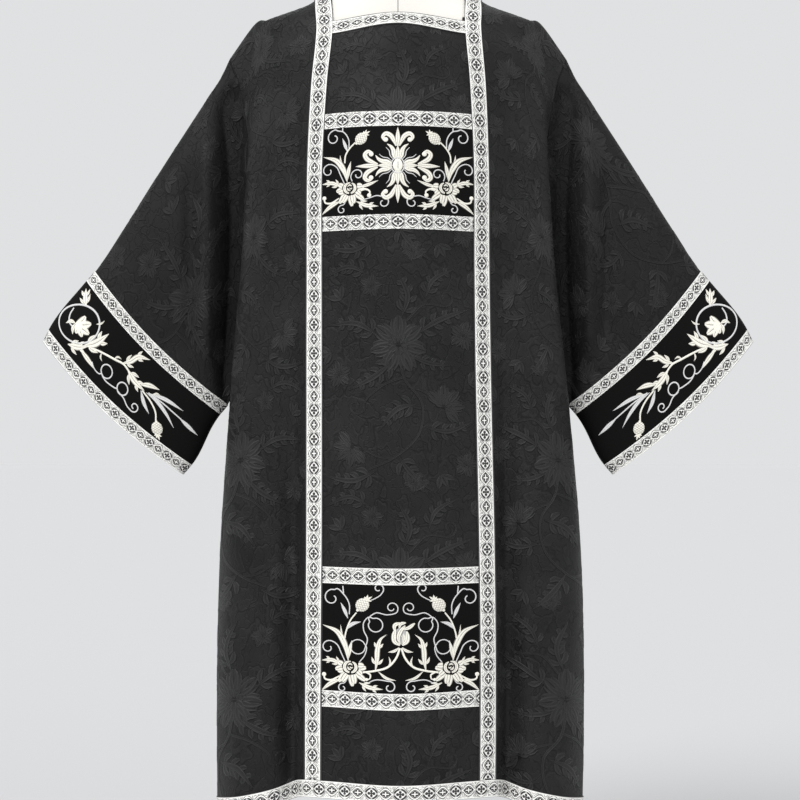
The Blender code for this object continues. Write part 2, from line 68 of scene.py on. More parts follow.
# Half of the front's key columns, from the centre to the side seam or armhole
COLUMN_ALONG = (0.0, 0.112, 0.138, 0.166, 0.195, 0.238, 0.290, 0.330)
BRAID_IN = 0.112
BRAID_OUT = 0.138
SEAM = 0.330

# Key rows of the front, from the hem up: height at the centre, then x, y and drop of each key column
FRONT_ROWS = (
    (0.2645,
     (0, 0.1125, 0.1382, 0.1560, 0.1840, 0.2310, 0.2700, 0.2695),
     (-0.150, -0.111, -0.098, -0.067, -0.088, -0.082, -0.026, 0),
     (0, 0.0005, 0.0015, 0.010, 0.0175, 0.030, 0.0435, 0.047)),
    (0.3600,
     (0, 0.1128, 0.1388, 0.1565, 0.1850, 0.2320, 0.2715, 0.2710),
     (-0.148, -0.109, -0.096, -0.066, -0.086, -0.080, -0.026, 0),
     (0, 0, 0.001, 0.008, 0.014, 0.023, 0.033, 0.036)),
    (0.5000,
     (0, 0.1125, 0.1385, 0.1565, 0.1850, 0.2300, 0.2710, 0.2705),
     (-0.145, -0.106, -0.093, -0.067, -0.083, -0.078, -0.025, 0),
     (0, 0, 0, 0.004, 0.008, 0.014, 0.020, 0.022)),
    (0.6400,
     (0, 0.1115, 0.1370, 0.1560, 0.1840, 0.2260, 0.2660, 0.2640),
     (-0.142, -0.103, -0.091, -0.068, -0.080, -0.075, -0.027, 0),
     (0, 0, 0, 0.002, 0.004, 0.006, 0.010, 0.011)),
    (0.7800,
     (0, 0.1100, 0.1355, 0.1560, 0.1830, 0.2190, 0.2545, 0.2430),
     (-0.140, -0.101, -0.089, -0.071, -0.077, -0.074, -0.038, 0),
     (0, 0, 0, 0, 0, 0, 0.002, 0.003)),
    (0.9000,
     (0, 0.1090, 0.1345, 0.1560, 0.1820, 0.2130, 0.2430, 0.2130),
     (-0.139, -0.099, -0.087, -0.073, -0.073, -0.074, -0.050, 0),
     (0, 0, 0, 0, 0, 0, 0, 0)),
    (1.0300,
     (0, 0.1085, 0.1335, 0.1550, 0.1800, 0.2070, 0.2310, 0.2200),
     (-0.138, -0.098, -0.085, -0.073, -0.070, -0.072, -0.053, 0),
     (0, 0, 0, 0, 0, 0, 0, 0)),
    (1.1800,
     (0, 0.1085, 0.1330, 0.1550, 0.1780, 0.2000, 0.2235, 0.2130),
     (-0.134, -0.096, -0.083, -0.071, -0.066, -0.066, -0.053, -0.029),
     (0, 0, 0, 0.002, 0.006, 0.015, 0.030, 0.038)),
    (1.3000,
     (0, 0.1050, 0.1290, 0.1505, 0.1750, 0.1985, 0.2190, 0.2225),
     (-0.114, -0.089, -0.080, -0.070, -0.061, -0.053, -0.042, -0.028),
     (0, 0.001, 0.003, 0.007, 0.012, 0.026, 0.050, 0.069)),
    (1.4008,
     (0, 0.0985, 0.1220, 0.1480, 0.1730, 0.1975, 0.2180, 0.2390),
     (-0.080, -0.062, -0.056, -0.050, -0.043, -0.034, -0.026, -0.014),
     (0, 0.0095, 0.0115, 0.018, 0.027, 0.045, 0.067, 0.084)),
    (1.4520,
     (0, 0.1000, 0.1245, 0.1480, 0.1710, 0.1950, 0.2165, 0.2520),
     (0, 0, 0, 0, 0, 0, 0, 0),
     (0, 0.001, 0.0175, 0.0295, 0.0372, 0.0450, 0.0535, 0.1035)),
)

# The skirt hangs a little to the +X side: level and sideways shift
LEAN = ((0.2645, 0.0030), (0.5000, 0.0038), (0.6400, 0.0034), (0.7800, 0.0020), (0.9000, 0.0008),
        (1.0300, 0.0), (1.4520, 0.0))

# Upright braids near the neck: level, how far they are drawn in, and both shifted to the +X side
BRAID_SHIFT = ((1.0500, 0.0, 0.0), (1.1800, 0.0006, 0.0004), (1.3000, 0.0026, 0.0010),
               (1.4008, 0.0020, 0.0014), (1.4520, 0.0, 0.0))
BRAID_MIDDLE = 0.122
BRAID_SPREAD = 0.03

# Depths of the back's key columns at the same levels
BACK_DEPTHS = (
    (0.132, 0.110, 0.102, 0.092, 0.087, 0.076, 0.030, 0),
    (0.131, 0.109, 0.101, 0.091, 0.086, 0.075, 0.030, 0),
    (0.129, 0.107, 0.099, 0.089, 0.084, 0.073, 0.029, 0),
    (0.127, 0.105, 0.097, 0.087, 0.082, 0.071, 0.029, 0),
    (0.126, 0.103, 0.094, 0.084, 0.079, 0.070, 0.036, 0),
    (0.125, 0.101, 0.090, 0.080, 0.075, 0.068, 0.046, 0),
    (0.124, 0.099, 0.088, 0.078, 0.073, 0.067, 0.050, 0),
    (0.122, 0.097, 0.087, 0.078, 0.072, 0.066, 0.052, 0.029),
    (0.108, 0.092, 0.084, 0.077, 0.069, 0.058, 0.045, 0.028),
    (0.080, 0.066, 0.061, 0.055, 0.047, 0.037, 0.027, 0.014),
    (0, 0, 0, 0, 0, 0, 0, 0),
)

# Heights at the centre where pieces begin and end
HEM = 0.2645
HEM_BRAID_TOP = 0.2894
LOW_BAND_BOTTOM = (0.3953, 0.4189)
LOW_BAND_TOP = (0.5726, 0.5962)
UNDERARM = 1.0300
HIGH_BAND_BOTTOM = (1.0798, 1.1009)
HIGH_BAND_TOP = (1.2277, 1.2495)
NECK_BRAID = (1.3802, 1.4008)
SHOULDER = 1.4520

# Levels of a ringed cross on the left and right upright braid
CROSS_LEVELS = (0.9864, 0.9917)
# Levels that rows of the mesh keep to
KEY_LEVELS = (HEM, HEM_BRAID_TOP, *LOW_BAND_BOTTOM, *LOW_BAND_TOP, UNDERARM, *HIGH_BAND_BOTTOM,
              *HIGH_BAND_TOP, *NECK_BRAID)

# Levels of the solid's rows round the armhole, which set how far round the sleeve each one goes
ARMHOLE_LEVELS = (1.0300, 1.0798, 1.1009, 1.1430, 1.1850, 1.2277, 1.2495, 1.2900, 1.3350, 1.3802,
                  1.4008, 1.4210, 1.4370, 1.4465, 1.4520)

# Sleeve stations from the armhole to the cuff: how far along, top x and z, bottom x and z,
# half thickness, and how far the middle is pushed towards the cuff
SLEEVE_STATIONS = (
    (0.00, 0.2520, 1.3485, 0.2200, 1.0300, 0.030, 0.000),
    (0.08, 0.2680, 1.3150, 0.2245, 1.0080, 0.031, 0.000),
    (0.18, 0.2940, 1.2740, 0.2300, 0.9780, 0.036, 0.000),
    (0.36, 0.3510, 1.1885, 0.2390, 0.9300, 0.038, 0.003),
    (0.54, 0.4080, 1.0985, 0.2470, 0.8800, 0.036, 0.006),
    (0.68, 0.4533, 1.0304, 0.2558, 0.8306, 0.032, 0.010),
    (0.72, 0.4659, 1.0154, 0.2673, 0.8168, 0.031, 0.010),
    (0.95, 0.5222, 0.9431, 0.3098, 0.7415, 0.027, 0.011),
    (1.00, 0.5313, 0.9248, 0.3225, 0.7265, 0.027, 0.011),
)
BAND_INNER, BAND_START, BAND_END = 0.68, 0.72, 0.95
SLEEVE_ROW = 0.0125
SLEEVE_TOP_LENGTH = 0.508
SLEEVE_LOW_LENGTH = 0.329
SLEEVE_ROUNDNESS = 0.85
SLEEVE_BLEND = 0.40

# Upright folds of the sleeve: distance from the centre, half width, height outwards, lowest and highest z
SLEEVE_FOLDS = (
    (0.246, 0.018, -0.032, 0.82, 1.31),
    (0.282, 0.012, 0.010, 0.88, 1.24),
    (0.309, 0.009, -0.007, 0.90, 1.20),
)
FOLD_FADE = 0.05
FOLD_SOFT = 0.012

# Dress form: height, half width, depth in front and depth behind
FORM_ROWS = (
    (0.800, 0.160, 0.108, 0.100),
    (0.850, 0.168, 0.114, 0.106),
    (0.940, 0.166, 0.112, 0.106),
    (1.050, 0.132, 0.096, 0.088),
    (1.120, 0.142, 0.106, 0.094),
    (1.190, 0.157, 0.114, 0.102),
    (1.260, 0.168, 0.108, 0.103),
    (1.310, 0.179, 0.096, 0.096),
    (1.350, 0.193, 0.080, 0.084),
    (1.380, 0.203, 0.070, 0.074),
    (1.3920, 0.2060, 0.0650, 0.0690),
    (1.3992, 0.2035, 0.0620, 0.0660),
    (1.4045, 0.1925, 0.0600, 0.0640),
    (1.4093, 0.1790, 0.0580, 0.0620),
    (1.4165, 0.1580, 0.0560, 0.0600),
    (1.4236, 0.1395, 0.0540, 0.0580),
    (1.4350, 0.1200, 0.0520, 0.0560),
    (1.4470, 0.1045, 0.0500, 0.0540),
    (1.4600, 0.0890, 0.0490, 0.0530),
    (1.4760, 0.0740, 0.0480, 0.0520),
    (1.5000, 0.0620, 0.0470, 0.0510),
    (1.5300, 0.0580, 0.0460, 0.0500),
)

# Soft creases of the panels: place across and level where each begins and ends, half width, height outwards
FRONT_CREASES = (
    (-0.150, 1.36, -0.205, 1.05, 0.014, -0.0022),
    (-0.255, 1.20, -0.222, 0.78, 0.017, -0.0030),
    (-0.262, 0.86, -0.268, 0.40, 0.020, 0.0030),
    (-0.212, 0.70, -0.226, 0.30, 0.015, -0.0028),
    (-0.176, 0.98, -0.180, 0.62, 0.012, 0.0018),
    (-0.060, 1.00, -0.066, 0.66, 0.022, 0.0016),
    (0.030, 1.05, 0.052, 0.70, 0.020, -0.0014),
    (0.158, 1.34, 0.200, 1.08, 0.014, -0.0024),
    (0.248, 1.18, 0.228, 0.82, 0.016, -0.0028),
    (0.268, 0.90, 0.262, 0.44, 0.019, 0.0032),
    (0.214, 0.76, 0.236, 0.32, 0.016, -0.0024),
    (0.180, 0.94, 0.176, 0.58, 0.012, 0.0020),
)
BACK_CREASES = (
    (-0.120, 1.34, -0.190, 1.02, 0.018, -0.0024),
    (-0.240, 1.16, -0.205, 0.70, 0.018, -0.0036),
    (-0.150, 0.98, -0.165, 0.34, 0.020, 0.0042),
    (-0.060, 1.26, -0.045, 0.80, 0.024, -0.0022),
    (0.020, 1.00, 0.036, 0.42, 0.022, 0.0030),
    (0.110, 1.36, 0.172, 1.04, 0.018, -0.0026),
    (0.236, 1.12, 0.215, 0.66, 0.018, -0.0034),
    (0.158, 0.90, 0.150, 0.30, 0.021, 0.0040),
    (0.262, 0.88, 0.270, 0.36, 0.018, 0.0030),
    (-0.268, 0.80, -0.262, 0.30, 0.018, 0.0028),
)
CREASE_BEND = 0.006
CREASE_OVER = 0.15
CREASE_FADE = 0.45
CREASE_FROM_SEAM = 0.03

# Millimetres across the flattened cuff, on which its embroidery is drawn, and half the width in
# metres of the apparels' designs
CUFF_CHORD = 290.0
DESIGN_HALF = 0.108

# Least distance of stitches from a band's edges: metres on an apparel, share of the sleeve on a cuff
STITCH_CLEAR = 0.0004
CUFF_CLEAR = 0.004

# Millimetres from one ringed cross of the braid to the next
GALLOON_PERIOD = 41.4

# Stand
BASE_RADIUS = 0.190
BASE_HEIGHT = 0.014
POLE_RADIUS = 0.0125
FORM_BOTTOM = 0.800
NECK_TOP = 1.530

# Photograph's camera
CAMERA_DISTANCE = 2.7
CAMERA_HEIGHT = 0.8075
CAMERA_LENS = 81.0
CAMERA_SENSOR = 36
CAMERA_SHIFT = (0.0025, 0.025)

# Colours: linear red, green, blue
SILK_DARK = (0.0040, 0.0039, 0.0040)
SILK_LIGHT = (0.0350, 0.0346, 0.0344)
# Painted shade: the sleeves' silk is a darker copy of the body's silk
SLEEVE_SHADED_LIGHT = (0.0270, 0.0266, 0.0264)
BAND_DARK = (0.0025, 0.0022, 0.0021)
BAND_LIGHT = (0.0060, 0.0053, 0.0050)
BRAID_LIGHT = (0.93, 0.92, 0.885)
BRAID_DARK = (0.010, 0.010, 0.011)
IVORY = (0.86, 0.84, 0.75)
IVORY_SHADE = (0.10, 0.09, 0.075)
SILVER = (0.70, 0.70, 0.69)
SILVER_SHADE = (0.14, 0.14, 0.15)
COVER = (0.77, 0.75, 0.70)
COVER_SEAM = (0.13, 0.12, 0.11)
METAL = (0.42, 0.42, 0.43)
WOOD_DARK = (0.06, 0.030, 0.015)
WOOD_LIGHT = (0.20, 0.11, 0.055)
FLOOR = (0.560, 0.563, 0.569)
ROOM_COLOUR = (0.93, 0.94, 0.95)
ROOM_LIGHT = 0.80
FLOOR_SIZE = 60
KEY_POWER = 2.25
FILL_POWER = 0.65


# Smooth curves, as in the solids

def curve(knots, values, wanted):
    """Smooth curve through values at knots, with slopes from the neighbours."""
    knots = np.asarray(knots, float)
    values = np.asarray(values, float)
    wanted = np.clip(np.asarray(wanted, float), knots[0], knots[-1])
    steps = np.diff(knots)
    shape = (-1,) + (1,) * (values.ndim - 1)
    lines = np.diff(values, axis=0) / steps.reshape(shape)
    slopes = np.empty_like(values)
    slopes[0] = lines[0]
    slopes[-1] = lines[-1]
    before = steps[:-1].reshape(shape)
    after = steps[1:].reshape(shape)
    slopes[1:-1] = (lines[:-1] * after + lines[1:] * before) / (before + after)
    place = np.clip(np.searchsorted(knots, wanted, side="right") - 1, 0, len(knots) - 2)
    step = steps[place].reshape(shape)
    t = ((wanted - knots[place]) / steps[place]).reshape(shape)
    return (values[place] * (1 + 2 * t) * (1 - t) ** 2 + slopes[place] * step * t * (1 - t) ** 2
            + values[place + 1] * t * t * (3 - 2 * t) + slopes[place + 1] * step * t * t * (t - 1))


def finer(values, step):
    """The values with evenly spaced ones between them, no further apart than step."""
    made = [values[0]]
    for start, end in zip(values, values[1:]):
        count = int(np.ceil((end - start) / step - 1e-6))
        made += [start + (end - start) * (k + 1) / count for k in range(count)]
    return np.array(made)


def running_length(points):
    return np.concatenate([[0], np.cumsum(np.linalg.norm(np.diff(points, axis=0), axis=1))])


def unit(vectors):
    """The vectors along the last axis, each made 1 long."""
    return vectors / np.maximum(np.linalg.norm(vectors, axis=-1, keepdims=True), 1e-12)


def joined(*coordinates):
    """Points from coordinates, which are stretched to one shape."""
    return np.stack(np.broadcast_arrays(*coordinates), axis=-1)


def index_of(values, wanted):
    """Index of the first value that isn't under the wanted one."""
    return int(np.searchsorted(values, wanted - 1e-6))


def smooth_step(values):
    values = np.clip(values, 0, 1)
    return values * values * (3 - 2 * values)


def table_curve(table, wanted):
    """Curves through a table's other columns over its first one."""
    table = np.array(table)
    return curve(table[:, 0], table[:, 1:], wanted)


def push_off_form(grid, clear):
    """Move a grid's points out until they keep the clearance from the form."""
    def level(p):
        size = table_curve(FORM_ROWS, p[:, 2])
        depth = np.where(p[:, 1] < 0, size[:, 1], size[:, 2])
        return np.hypot(p[:, 0] / size[:, 0], p[:, 1] / depth)

    points = grid.reshape(-1, 3).copy()
    for _ in range(PUSHES):
        slope = joined(*[(level(points + TINY * axis) - level(points - TINY * axis)) / (2 * TINY)
                         for axis in np.eye(3)])
        size = np.maximum(np.linalg.norm(slope, axis=1, keepdims=True), 1e-6)
        gap = (level(points) - 1) / size[:, 0]
        points += np.clip(clear - gap, 0, LONGEST_PUSH)[:, None] * slope / size
    return points.reshape(grid.shape)


# Cloth surfaces

class Surface:
    """The outer face of a piece of cloth: rows of points, each with two cloth coordinates."""

    def __init__(self, points, rows, columns, middle):
        self.points, self.rows, self.columns = points, rows, columns
        self.normals = unit(np.cross(np.gradient(points, axis=1), np.gradient(points, axis=0)))
        if np.sum(self.normals * (points - middle)) < 0:
            self.normals = -self.normals

    def at(self, x, y):
        """Points and normals of the cloth at the coordinates x and y."""
        i = np.interp(y, self.rows, np.arange(len(self.rows)))
        j = np.interp(x, self.columns, np.arange(len(self.columns)))
        low_i = np.clip(i.astype(int), 0, len(self.rows) - 2)
        low_j = np.clip(j.astype(int), 0, len(self.columns) - 2)
        s = (i - low_i)[..., None]
        t = (j - low_j)[..., None]

        def mix(values):
            low = values[low_i, low_j] * (1 - t) + values[low_i, low_j + 1] * t
            high = values[low_i + 1, low_j] * (1 - t) + values[low_i + 1, low_j + 1] * t
            return low * (1 - s) + high * s

        return mix(self.points), unit(mix(self.normals))

    def part(self, rows, columns):
        """Points and normals between two row and two column coordinates."""
        i = [index_of(self.rows, row) for row in rows]
        j = [index_of(self.columns, column) for column in columns]
        part = (slice(i[0], i[1] + 1), slice(j[0], j[1] + 1))
        return self.points[part], self.normals[part]


def mirrored(values, sign):
    values = np.asarray(values, float)
    return np.concatenate([sign * values[:0:-1], values])


def crease_heights(creases, places, levels):
    """Heights of soft creases over a panel's rows and columns."""
    x, z = np.meshgrid(places, levels)
    total = np.zeros_like(x)
    for start_x, start_z, end_x, end_z, width, height in creases:
        t = (start_z - z) / (start_z - end_z)
        inside = np.clip(t, 0, 1)
        line = start_x + (end_x - start_x) * inside + CREASE_BEND * np.sin(np.pi * inside)
        fade = (smooth_step((t + CREASE_OVER) / CREASE_FADE)
                * smooth_step((1 + CREASE_OVER - t) / CREASE_FADE))
        total += height * fade * np.exp(-((x - line) / width) ** 2)
    return total * smooth_step((SEAM - np.abs(x)) / CREASE_FROM_SEAM)


def panel_surface(depths, creases, side):
    """Outer face of the front (side -1) or back (side 1)."""
    places = mirrored(finer(COLUMN_ALONG, MESH_STEP), -1)
    share = 1 - np.arange(1, RIDGE_ROWS + 1) / RIDGE_ROWS
    ridge = SHOULDER - (SHOULDER - NECK_BRAID[1]) * share ** 2
    levels = np.concatenate([finer(KEY_LEVELS, MESH_STEP), ridge])
    key_points = np.array([joined(mirrored(xs, -1), mirrored(ys, 1), level - mirrored(drops, 1))
                           for (level, xs, _, drops), ys in zip(FRONT_ROWS, depths)])
    rows = curve([row[0] for row in FRONT_ROWS], key_points, levels)
    grid = np.swapaxes(curve(mirrored(COLUMN_ALONG, -1), np.swapaxes(rows, 0, 1), places), 0, 1)
    near = np.exp(-((np.abs(places) - BRAID_MIDDLE) / BRAID_SPREAD) ** 2)
    drawn_in, aside = table_curve(BRAID_SHIFT, levels).T[..., None]
    grid[..., 0] += table_curve(LEAN, levels) + near * (aside - np.sign(places) * drawn_in)
    neck_row = index_of(levels, NECK_BRAID[1])
    underarm = index_of(levels, UNDERARM)
    share = (SHOULDER - levels[neck_row + 1:]) / (SHOULDER - levels[neck_row])
    grid[neck_row + 1:, :, 1] = grid[neck_row, :, 1] * np.sqrt(np.clip(share, 0, 1))[:, None]
    middle = np.array([0, -side, 0.8])
    bare = Surface(grid, levels, places, middle)
    grid = grid + bare.normals * crease_heights(creases, places, levels)[..., None]
    grid[underarm:] = push_off_form(grid[underarm:], CLOTH_WALL + FORM_CLEAR)
    grid[-1, :, 1] = 0
    grid[:underarm + 1, [0, -1], 1] = 0
    grid[..., 1] = side * np.maximum(side * grid[..., 1], HALF_SEAM)
    return Surface(grid, levels, places, middle)


def sleeve_surface(front, back, side):
    """Outer face of a sleeve. Its columns go round from the underarm behind, over the top fold,
    to the underarm in front, and its rows from the armhole to the cuff."""
    underarm = index_of(front.rows, UNDERARM)

    def round_armhole(column):
        return np.concatenate([back.points[underarm:, column], front.points[underarm:, column][::-1][1:]])

    edge, inside = (-1, -2) if side > 0 else (0, 1)
    seam = round_armhole(edge)
    half = len(seam) // 2
    ends = [0, half, -1]
    away = unit(seam - round_armhole(inside)) + np.array([side, 0, 0])
    away[half] = (side, 0, 0)
    away[ends, 1] = seam[ends, 1] = 0
    start = seam + unit(away) * ARMHOLE_GAP

    steps = len(ARMHOLE_LEVELS) - 1
    turn = np.pi * (1 - curve(ARMHOLE_LEVELS, np.arange(steps + 1), front.rows[underarm:]) / steps)
    turn = np.concatenate([-turn, turn[::-1][1:]])
    along_rows = finer((0.0, BAND_INNER, BAND_START, BAND_END, 1.0), SLEEVE_ROW)
    share = (1 - np.cos(turn)) / 2
    deep = np.sign(np.sin(turn)) * np.abs(np.sin(turn)) ** SLEEVE_ROUNDNESS
    start_x, start_z = SLEEVE_STATIONS[0][1:3]
    rings = []
    for along, station in zip(along_rows, table_curve(SLEEVE_STATIONS, along_rows)):
        top_x, top_z, low_x, low_z, depth, bow = station
        line = np.array([low_x - top_x, low_z - top_z])
        out = unit(np.array([-line[1], line[0]]))
        out = -out if out[1] > 0 else out
        bend = bow * np.sin(np.pi * share)
        ring = joined(side * (top_x + line[0] * share + out[0] * bend), -depth * deep,
                      top_z + line[1] * share + out[1] * bend)
        blend = smooth_step(along / SLEEVE_BLEND)
        way = np.array([side * (top_x - start_x), 0, top_z - start_z])
        rings.append((start + way * 0.9 * (1 - blend)) * (1 - blend) + ring * blend)
    grid = np.array(rings)
    distance, level = np.abs(grid[..., 0]), grid[..., 2]
    for x, width, height, low, high in SLEEVE_FOLDS:
        fade = np.clip((level - low) / FOLD_FADE, 0, 1) * np.clip((high - level) / FOLD_FADE, 0, 1)
        thick = np.abs(grid[..., 1])
        bump = height * np.exp(-((distance - x) / width) ** 2) * fade * np.clip(thick / FOLD_SOFT, 0, 1)
        bump[0] = 0
        grid[..., 1] = np.sign(grid[..., 1]) * np.maximum(thick + bump, np.minimum(thick, FOLD_HALF))
    grid[:, 0] = grid[:, -1] = (grid[:, 0] + grid[:, -1]) / 2
    around = running_length(grid[len(along_rows) // 2])
    made = Surface(grid, along_rows, around - around[half], grid.mean(axis=(0, 1)))
    made.turns = turn
    made.normals[:, 0] = made.normals[:, -1] = unit(made.normals[:, 0] + made.normals[:, -1])
    return made


# Meshes


class MeshMaker:
    """Collects grids of points into one mesh with cloth coordinates and material numbers."""

    def __init__(self):
        self.points, self.faces, self.places, self.slots = [], [], [], []
        self.count = 0

    def add_grid(self, points, places, outward, slot=0, keep=None):
        """Add a grid of points, whose faces turn to the outward vector or normals."""
        rows, columns = points.shape[:2]
        number = self.count + np.arange(rows * columns).reshape(rows, columns)
        corner = (number[:-1, :-1], number[:-1, 1:], number[1:, 1:], number[1:, :-1])
        normals = np.cross(points[:-1, 1:] - points[:-1, :-1], points[1:, :-1] - points[:-1, :-1])
        lean = np.sum(normals * np.broadcast_to(outward, points.shape)[:-1, :-1])
        order = (0, 1, 2, 3) if lean > 0 else (0, 3, 2, 1)
        chosen = np.ones((rows - 1, columns - 1), bool) if keep is None else keep
        faces = np.stack([corner[k][chosen] for k in order], axis=1)
        self.points.append(points.reshape(-1, 3))
        self.faces.append(faces)
        self.places.append(places.reshape(-1, 2)[faces - self.count])
        self.slots.append(np.full(len(faces), slot))
        self.count += rows * columns

    def finish(self, name, materials, weld=1e-6, sharp=0.9):
        """Make the piece. sharp: the angle in radians from which an edge stays sharp."""
        mesh = bpy.data.meshes.new(name)
        mesh.from_pydata(np.concatenate(self.points).tolist(), [], np.concatenate(self.faces).tolist())
        layer = mesh.uv_layers.new(name="cloth")
        layer.data.foreach_set("uv", np.concatenate(self.places).astype(np.float32).ravel())
        mesh.polygons.foreach_set("material_index", np.concatenate(self.slots).astype(np.int32))
        for made in materials:
            mesh.materials.append(made)
        if weld:
            body = bmesh.new()
            body.from_mesh(mesh)
            bmesh.ops.remove_doubles(body, verts=body.verts, dist=weld)
            bmesh.ops.dissolve_degenerate(body, dist=weld, edges=body.edges)
            body.to_mesh(mesh)
            body.free()
        mesh.polygons.foreach_set("use_smooth", np.ones(len(mesh.polygons), bool))
        mesh.set_sharp_from_angle(angle=sharp)
        mesh.update()
        item = bpy.data.objects.new(name, mesh)
        bpy.context.scene.collection.objects.link(item)
        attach(item, "root")
        return item


def braid_places(points, lengthwise, scale=1.0, start=0.0):
    """Cloth coordinates in metres: along a strip from start, and across it from its middle."""
    strip = np.swapaxes(points, 0, 1) if lengthwise else points
    along = running_length(strip[:, strip.shape[1] // 2]) - start
    across = np.stack([running_length(row) for row in strip])
    across -= across[:, -1:] / 2
    places = joined(along[:, None], across) * scale
    return np.swapaxes(places, 0, 1) if lengthwise else places


def add_wall(maker, outer, inner, normals, places, keep=None, rims=(0, 1)):
    """Outer and inner faces of a sheet, and the rims that join them along the chosen axes."""
    maker.add_grid(outer, places, normals, keep=keep)
    maker.add_grid(inner, places, -normals, keep=keep)
    rows, columns = outer.shape[:2]
    whole = np.ones((rows - 1, columns - 1), bool) if keep is None else keep
    for axis in rims:
        edges = np.diff(np.pad(whole, [(int(k == axis),) * 2 for k in (0, 1)]).astype(int), axis=axis)
        for i, j in np.argwhere(edges):
            back = edges[i, j] < 0
            a = (i, j)
            b = (i, j + 1) if axis == 0 else (i + 1, j)
            cell = (i - back, j) if axis == 0 else (i, j - back)
            strip = np.array([[outer[a], outer[b]], [inner[a], inner[b]]])
            away = strip.mean(axis=(0, 1)) - (outer[cell] + outer[cell[0] + 1, cell[1] + 1]) / 2
            maker.add_grid(strip, np.array([[places[a], places[b]]] * 2), away)


def cloth_piece(name, surface, made, keep=None, side=0, rims=(0, 1)):
    """A sheet with the cloth's thickness inside the surface, kept clear of the seams on its side."""
    inner = surface.points - surface.normals * CLOTH_WALL
    if side:
        inner[..., 1] = side * np.maximum(side * inner[..., 1], HALF_SEAM)
    maker = MeshMaker()
    add_wall(maker, surface.points, inner, surface.normals, braid_places(surface.points, 0), keep, rims)
    return maker.finish(name, [made])


def pulled_in(values, guide, ends, axis):
    """Move the first or last line of a strip in by half a seam. ends: low and high."""
    made = np.swapaxes(values, 0, axis).copy()
    guide = np.swapaxes(guide, 0, axis)
    for wanted, first, second in ((ends[0], 0, 1), (ends[1], -1, -2)):
        if wanted:
            share = HALF_SEAM / np.linalg.norm(guide[second] - guide[first], axis=-1, keepdims=True)
            made[first] = made[first] * (1 - share) + made[second] * share
    return np.swapaxes(made, 0, axis)


def skin_piece(name, points, normals, made, lengthwise=0, scale=1.0, start=0.0,
               ends=(1, 1), sides=(0, 0), rims=(0, 1)):
    """A braid or band laid on a panel. lengthwise: 0 where it runs along the rows' direction, else 1."""
    pulled = pulled_in(pulled_in(points, points, ends, 0), points, sides, 1)
    maker = MeshMaker()
    add_wall(maker, pulled + normals * (SKIN_GAP + BRAID_WALL), pulled + normals * SKIN_GAP, normals,
             braid_places(pulled, lengthwise, scale, start), rims=rims)
    return maker.finish(name, [made])


# Stitched shapes, drawn flat in millimetres

MM = 0.001
LEAST_WIDTH = 0.12
ROUND = ((-1, 0), (-0.82, 0.6), (-0.42, 0.92), (0, 1), (0.42, 0.92), (0.82, 0.6), (1, 0))
VEINED = ((-1, 0), (-0.8, 0.68), (-0.45, 1), (-0.14, 0.8), (0, 0.25), (0.14, 0.8), (0.45, 1),
          (0.8, 0.68), (1, 0))
WOVEN = ((-1, 0), (-0.55, 0.9), (0, 0.3), (0.55, 0.9), (1, 0))
LEAF = (0.14, 0.55, 0.93, 1.0, 0.82, 0.46, 0.05)
PETAL = (0.35, 0.75, 1.0, 1.05, 0.85, 0.3)
FRILL = (0.85, 1.0, 1.0, 0.95, 0.8, 0.4)
SILVER_WIDTHS = (1.5, 1.8, 1.7)
WIDE_SILVER = (1.6, 1.9, 1.8)
ALL_THREADS = (0, 1, 2, 3)
LEAF_THREAD, STEM_THREAD, SILVER_THREAD, NET_THREAD = ALL_THREADS


def direction(degrees):
    turn = np.radians(degrees)
    return np.array([np.cos(turn), np.sin(turn)])


def turned_shape(points, turn, x, y, flip=False):
    """Flat points, mirrored, turned and moved."""
    along = -direction(turn) if flip else direction(turn)
    return points[..., :1] * along + points[..., 1:] * direction(turn + 90) + np.array([x, y])


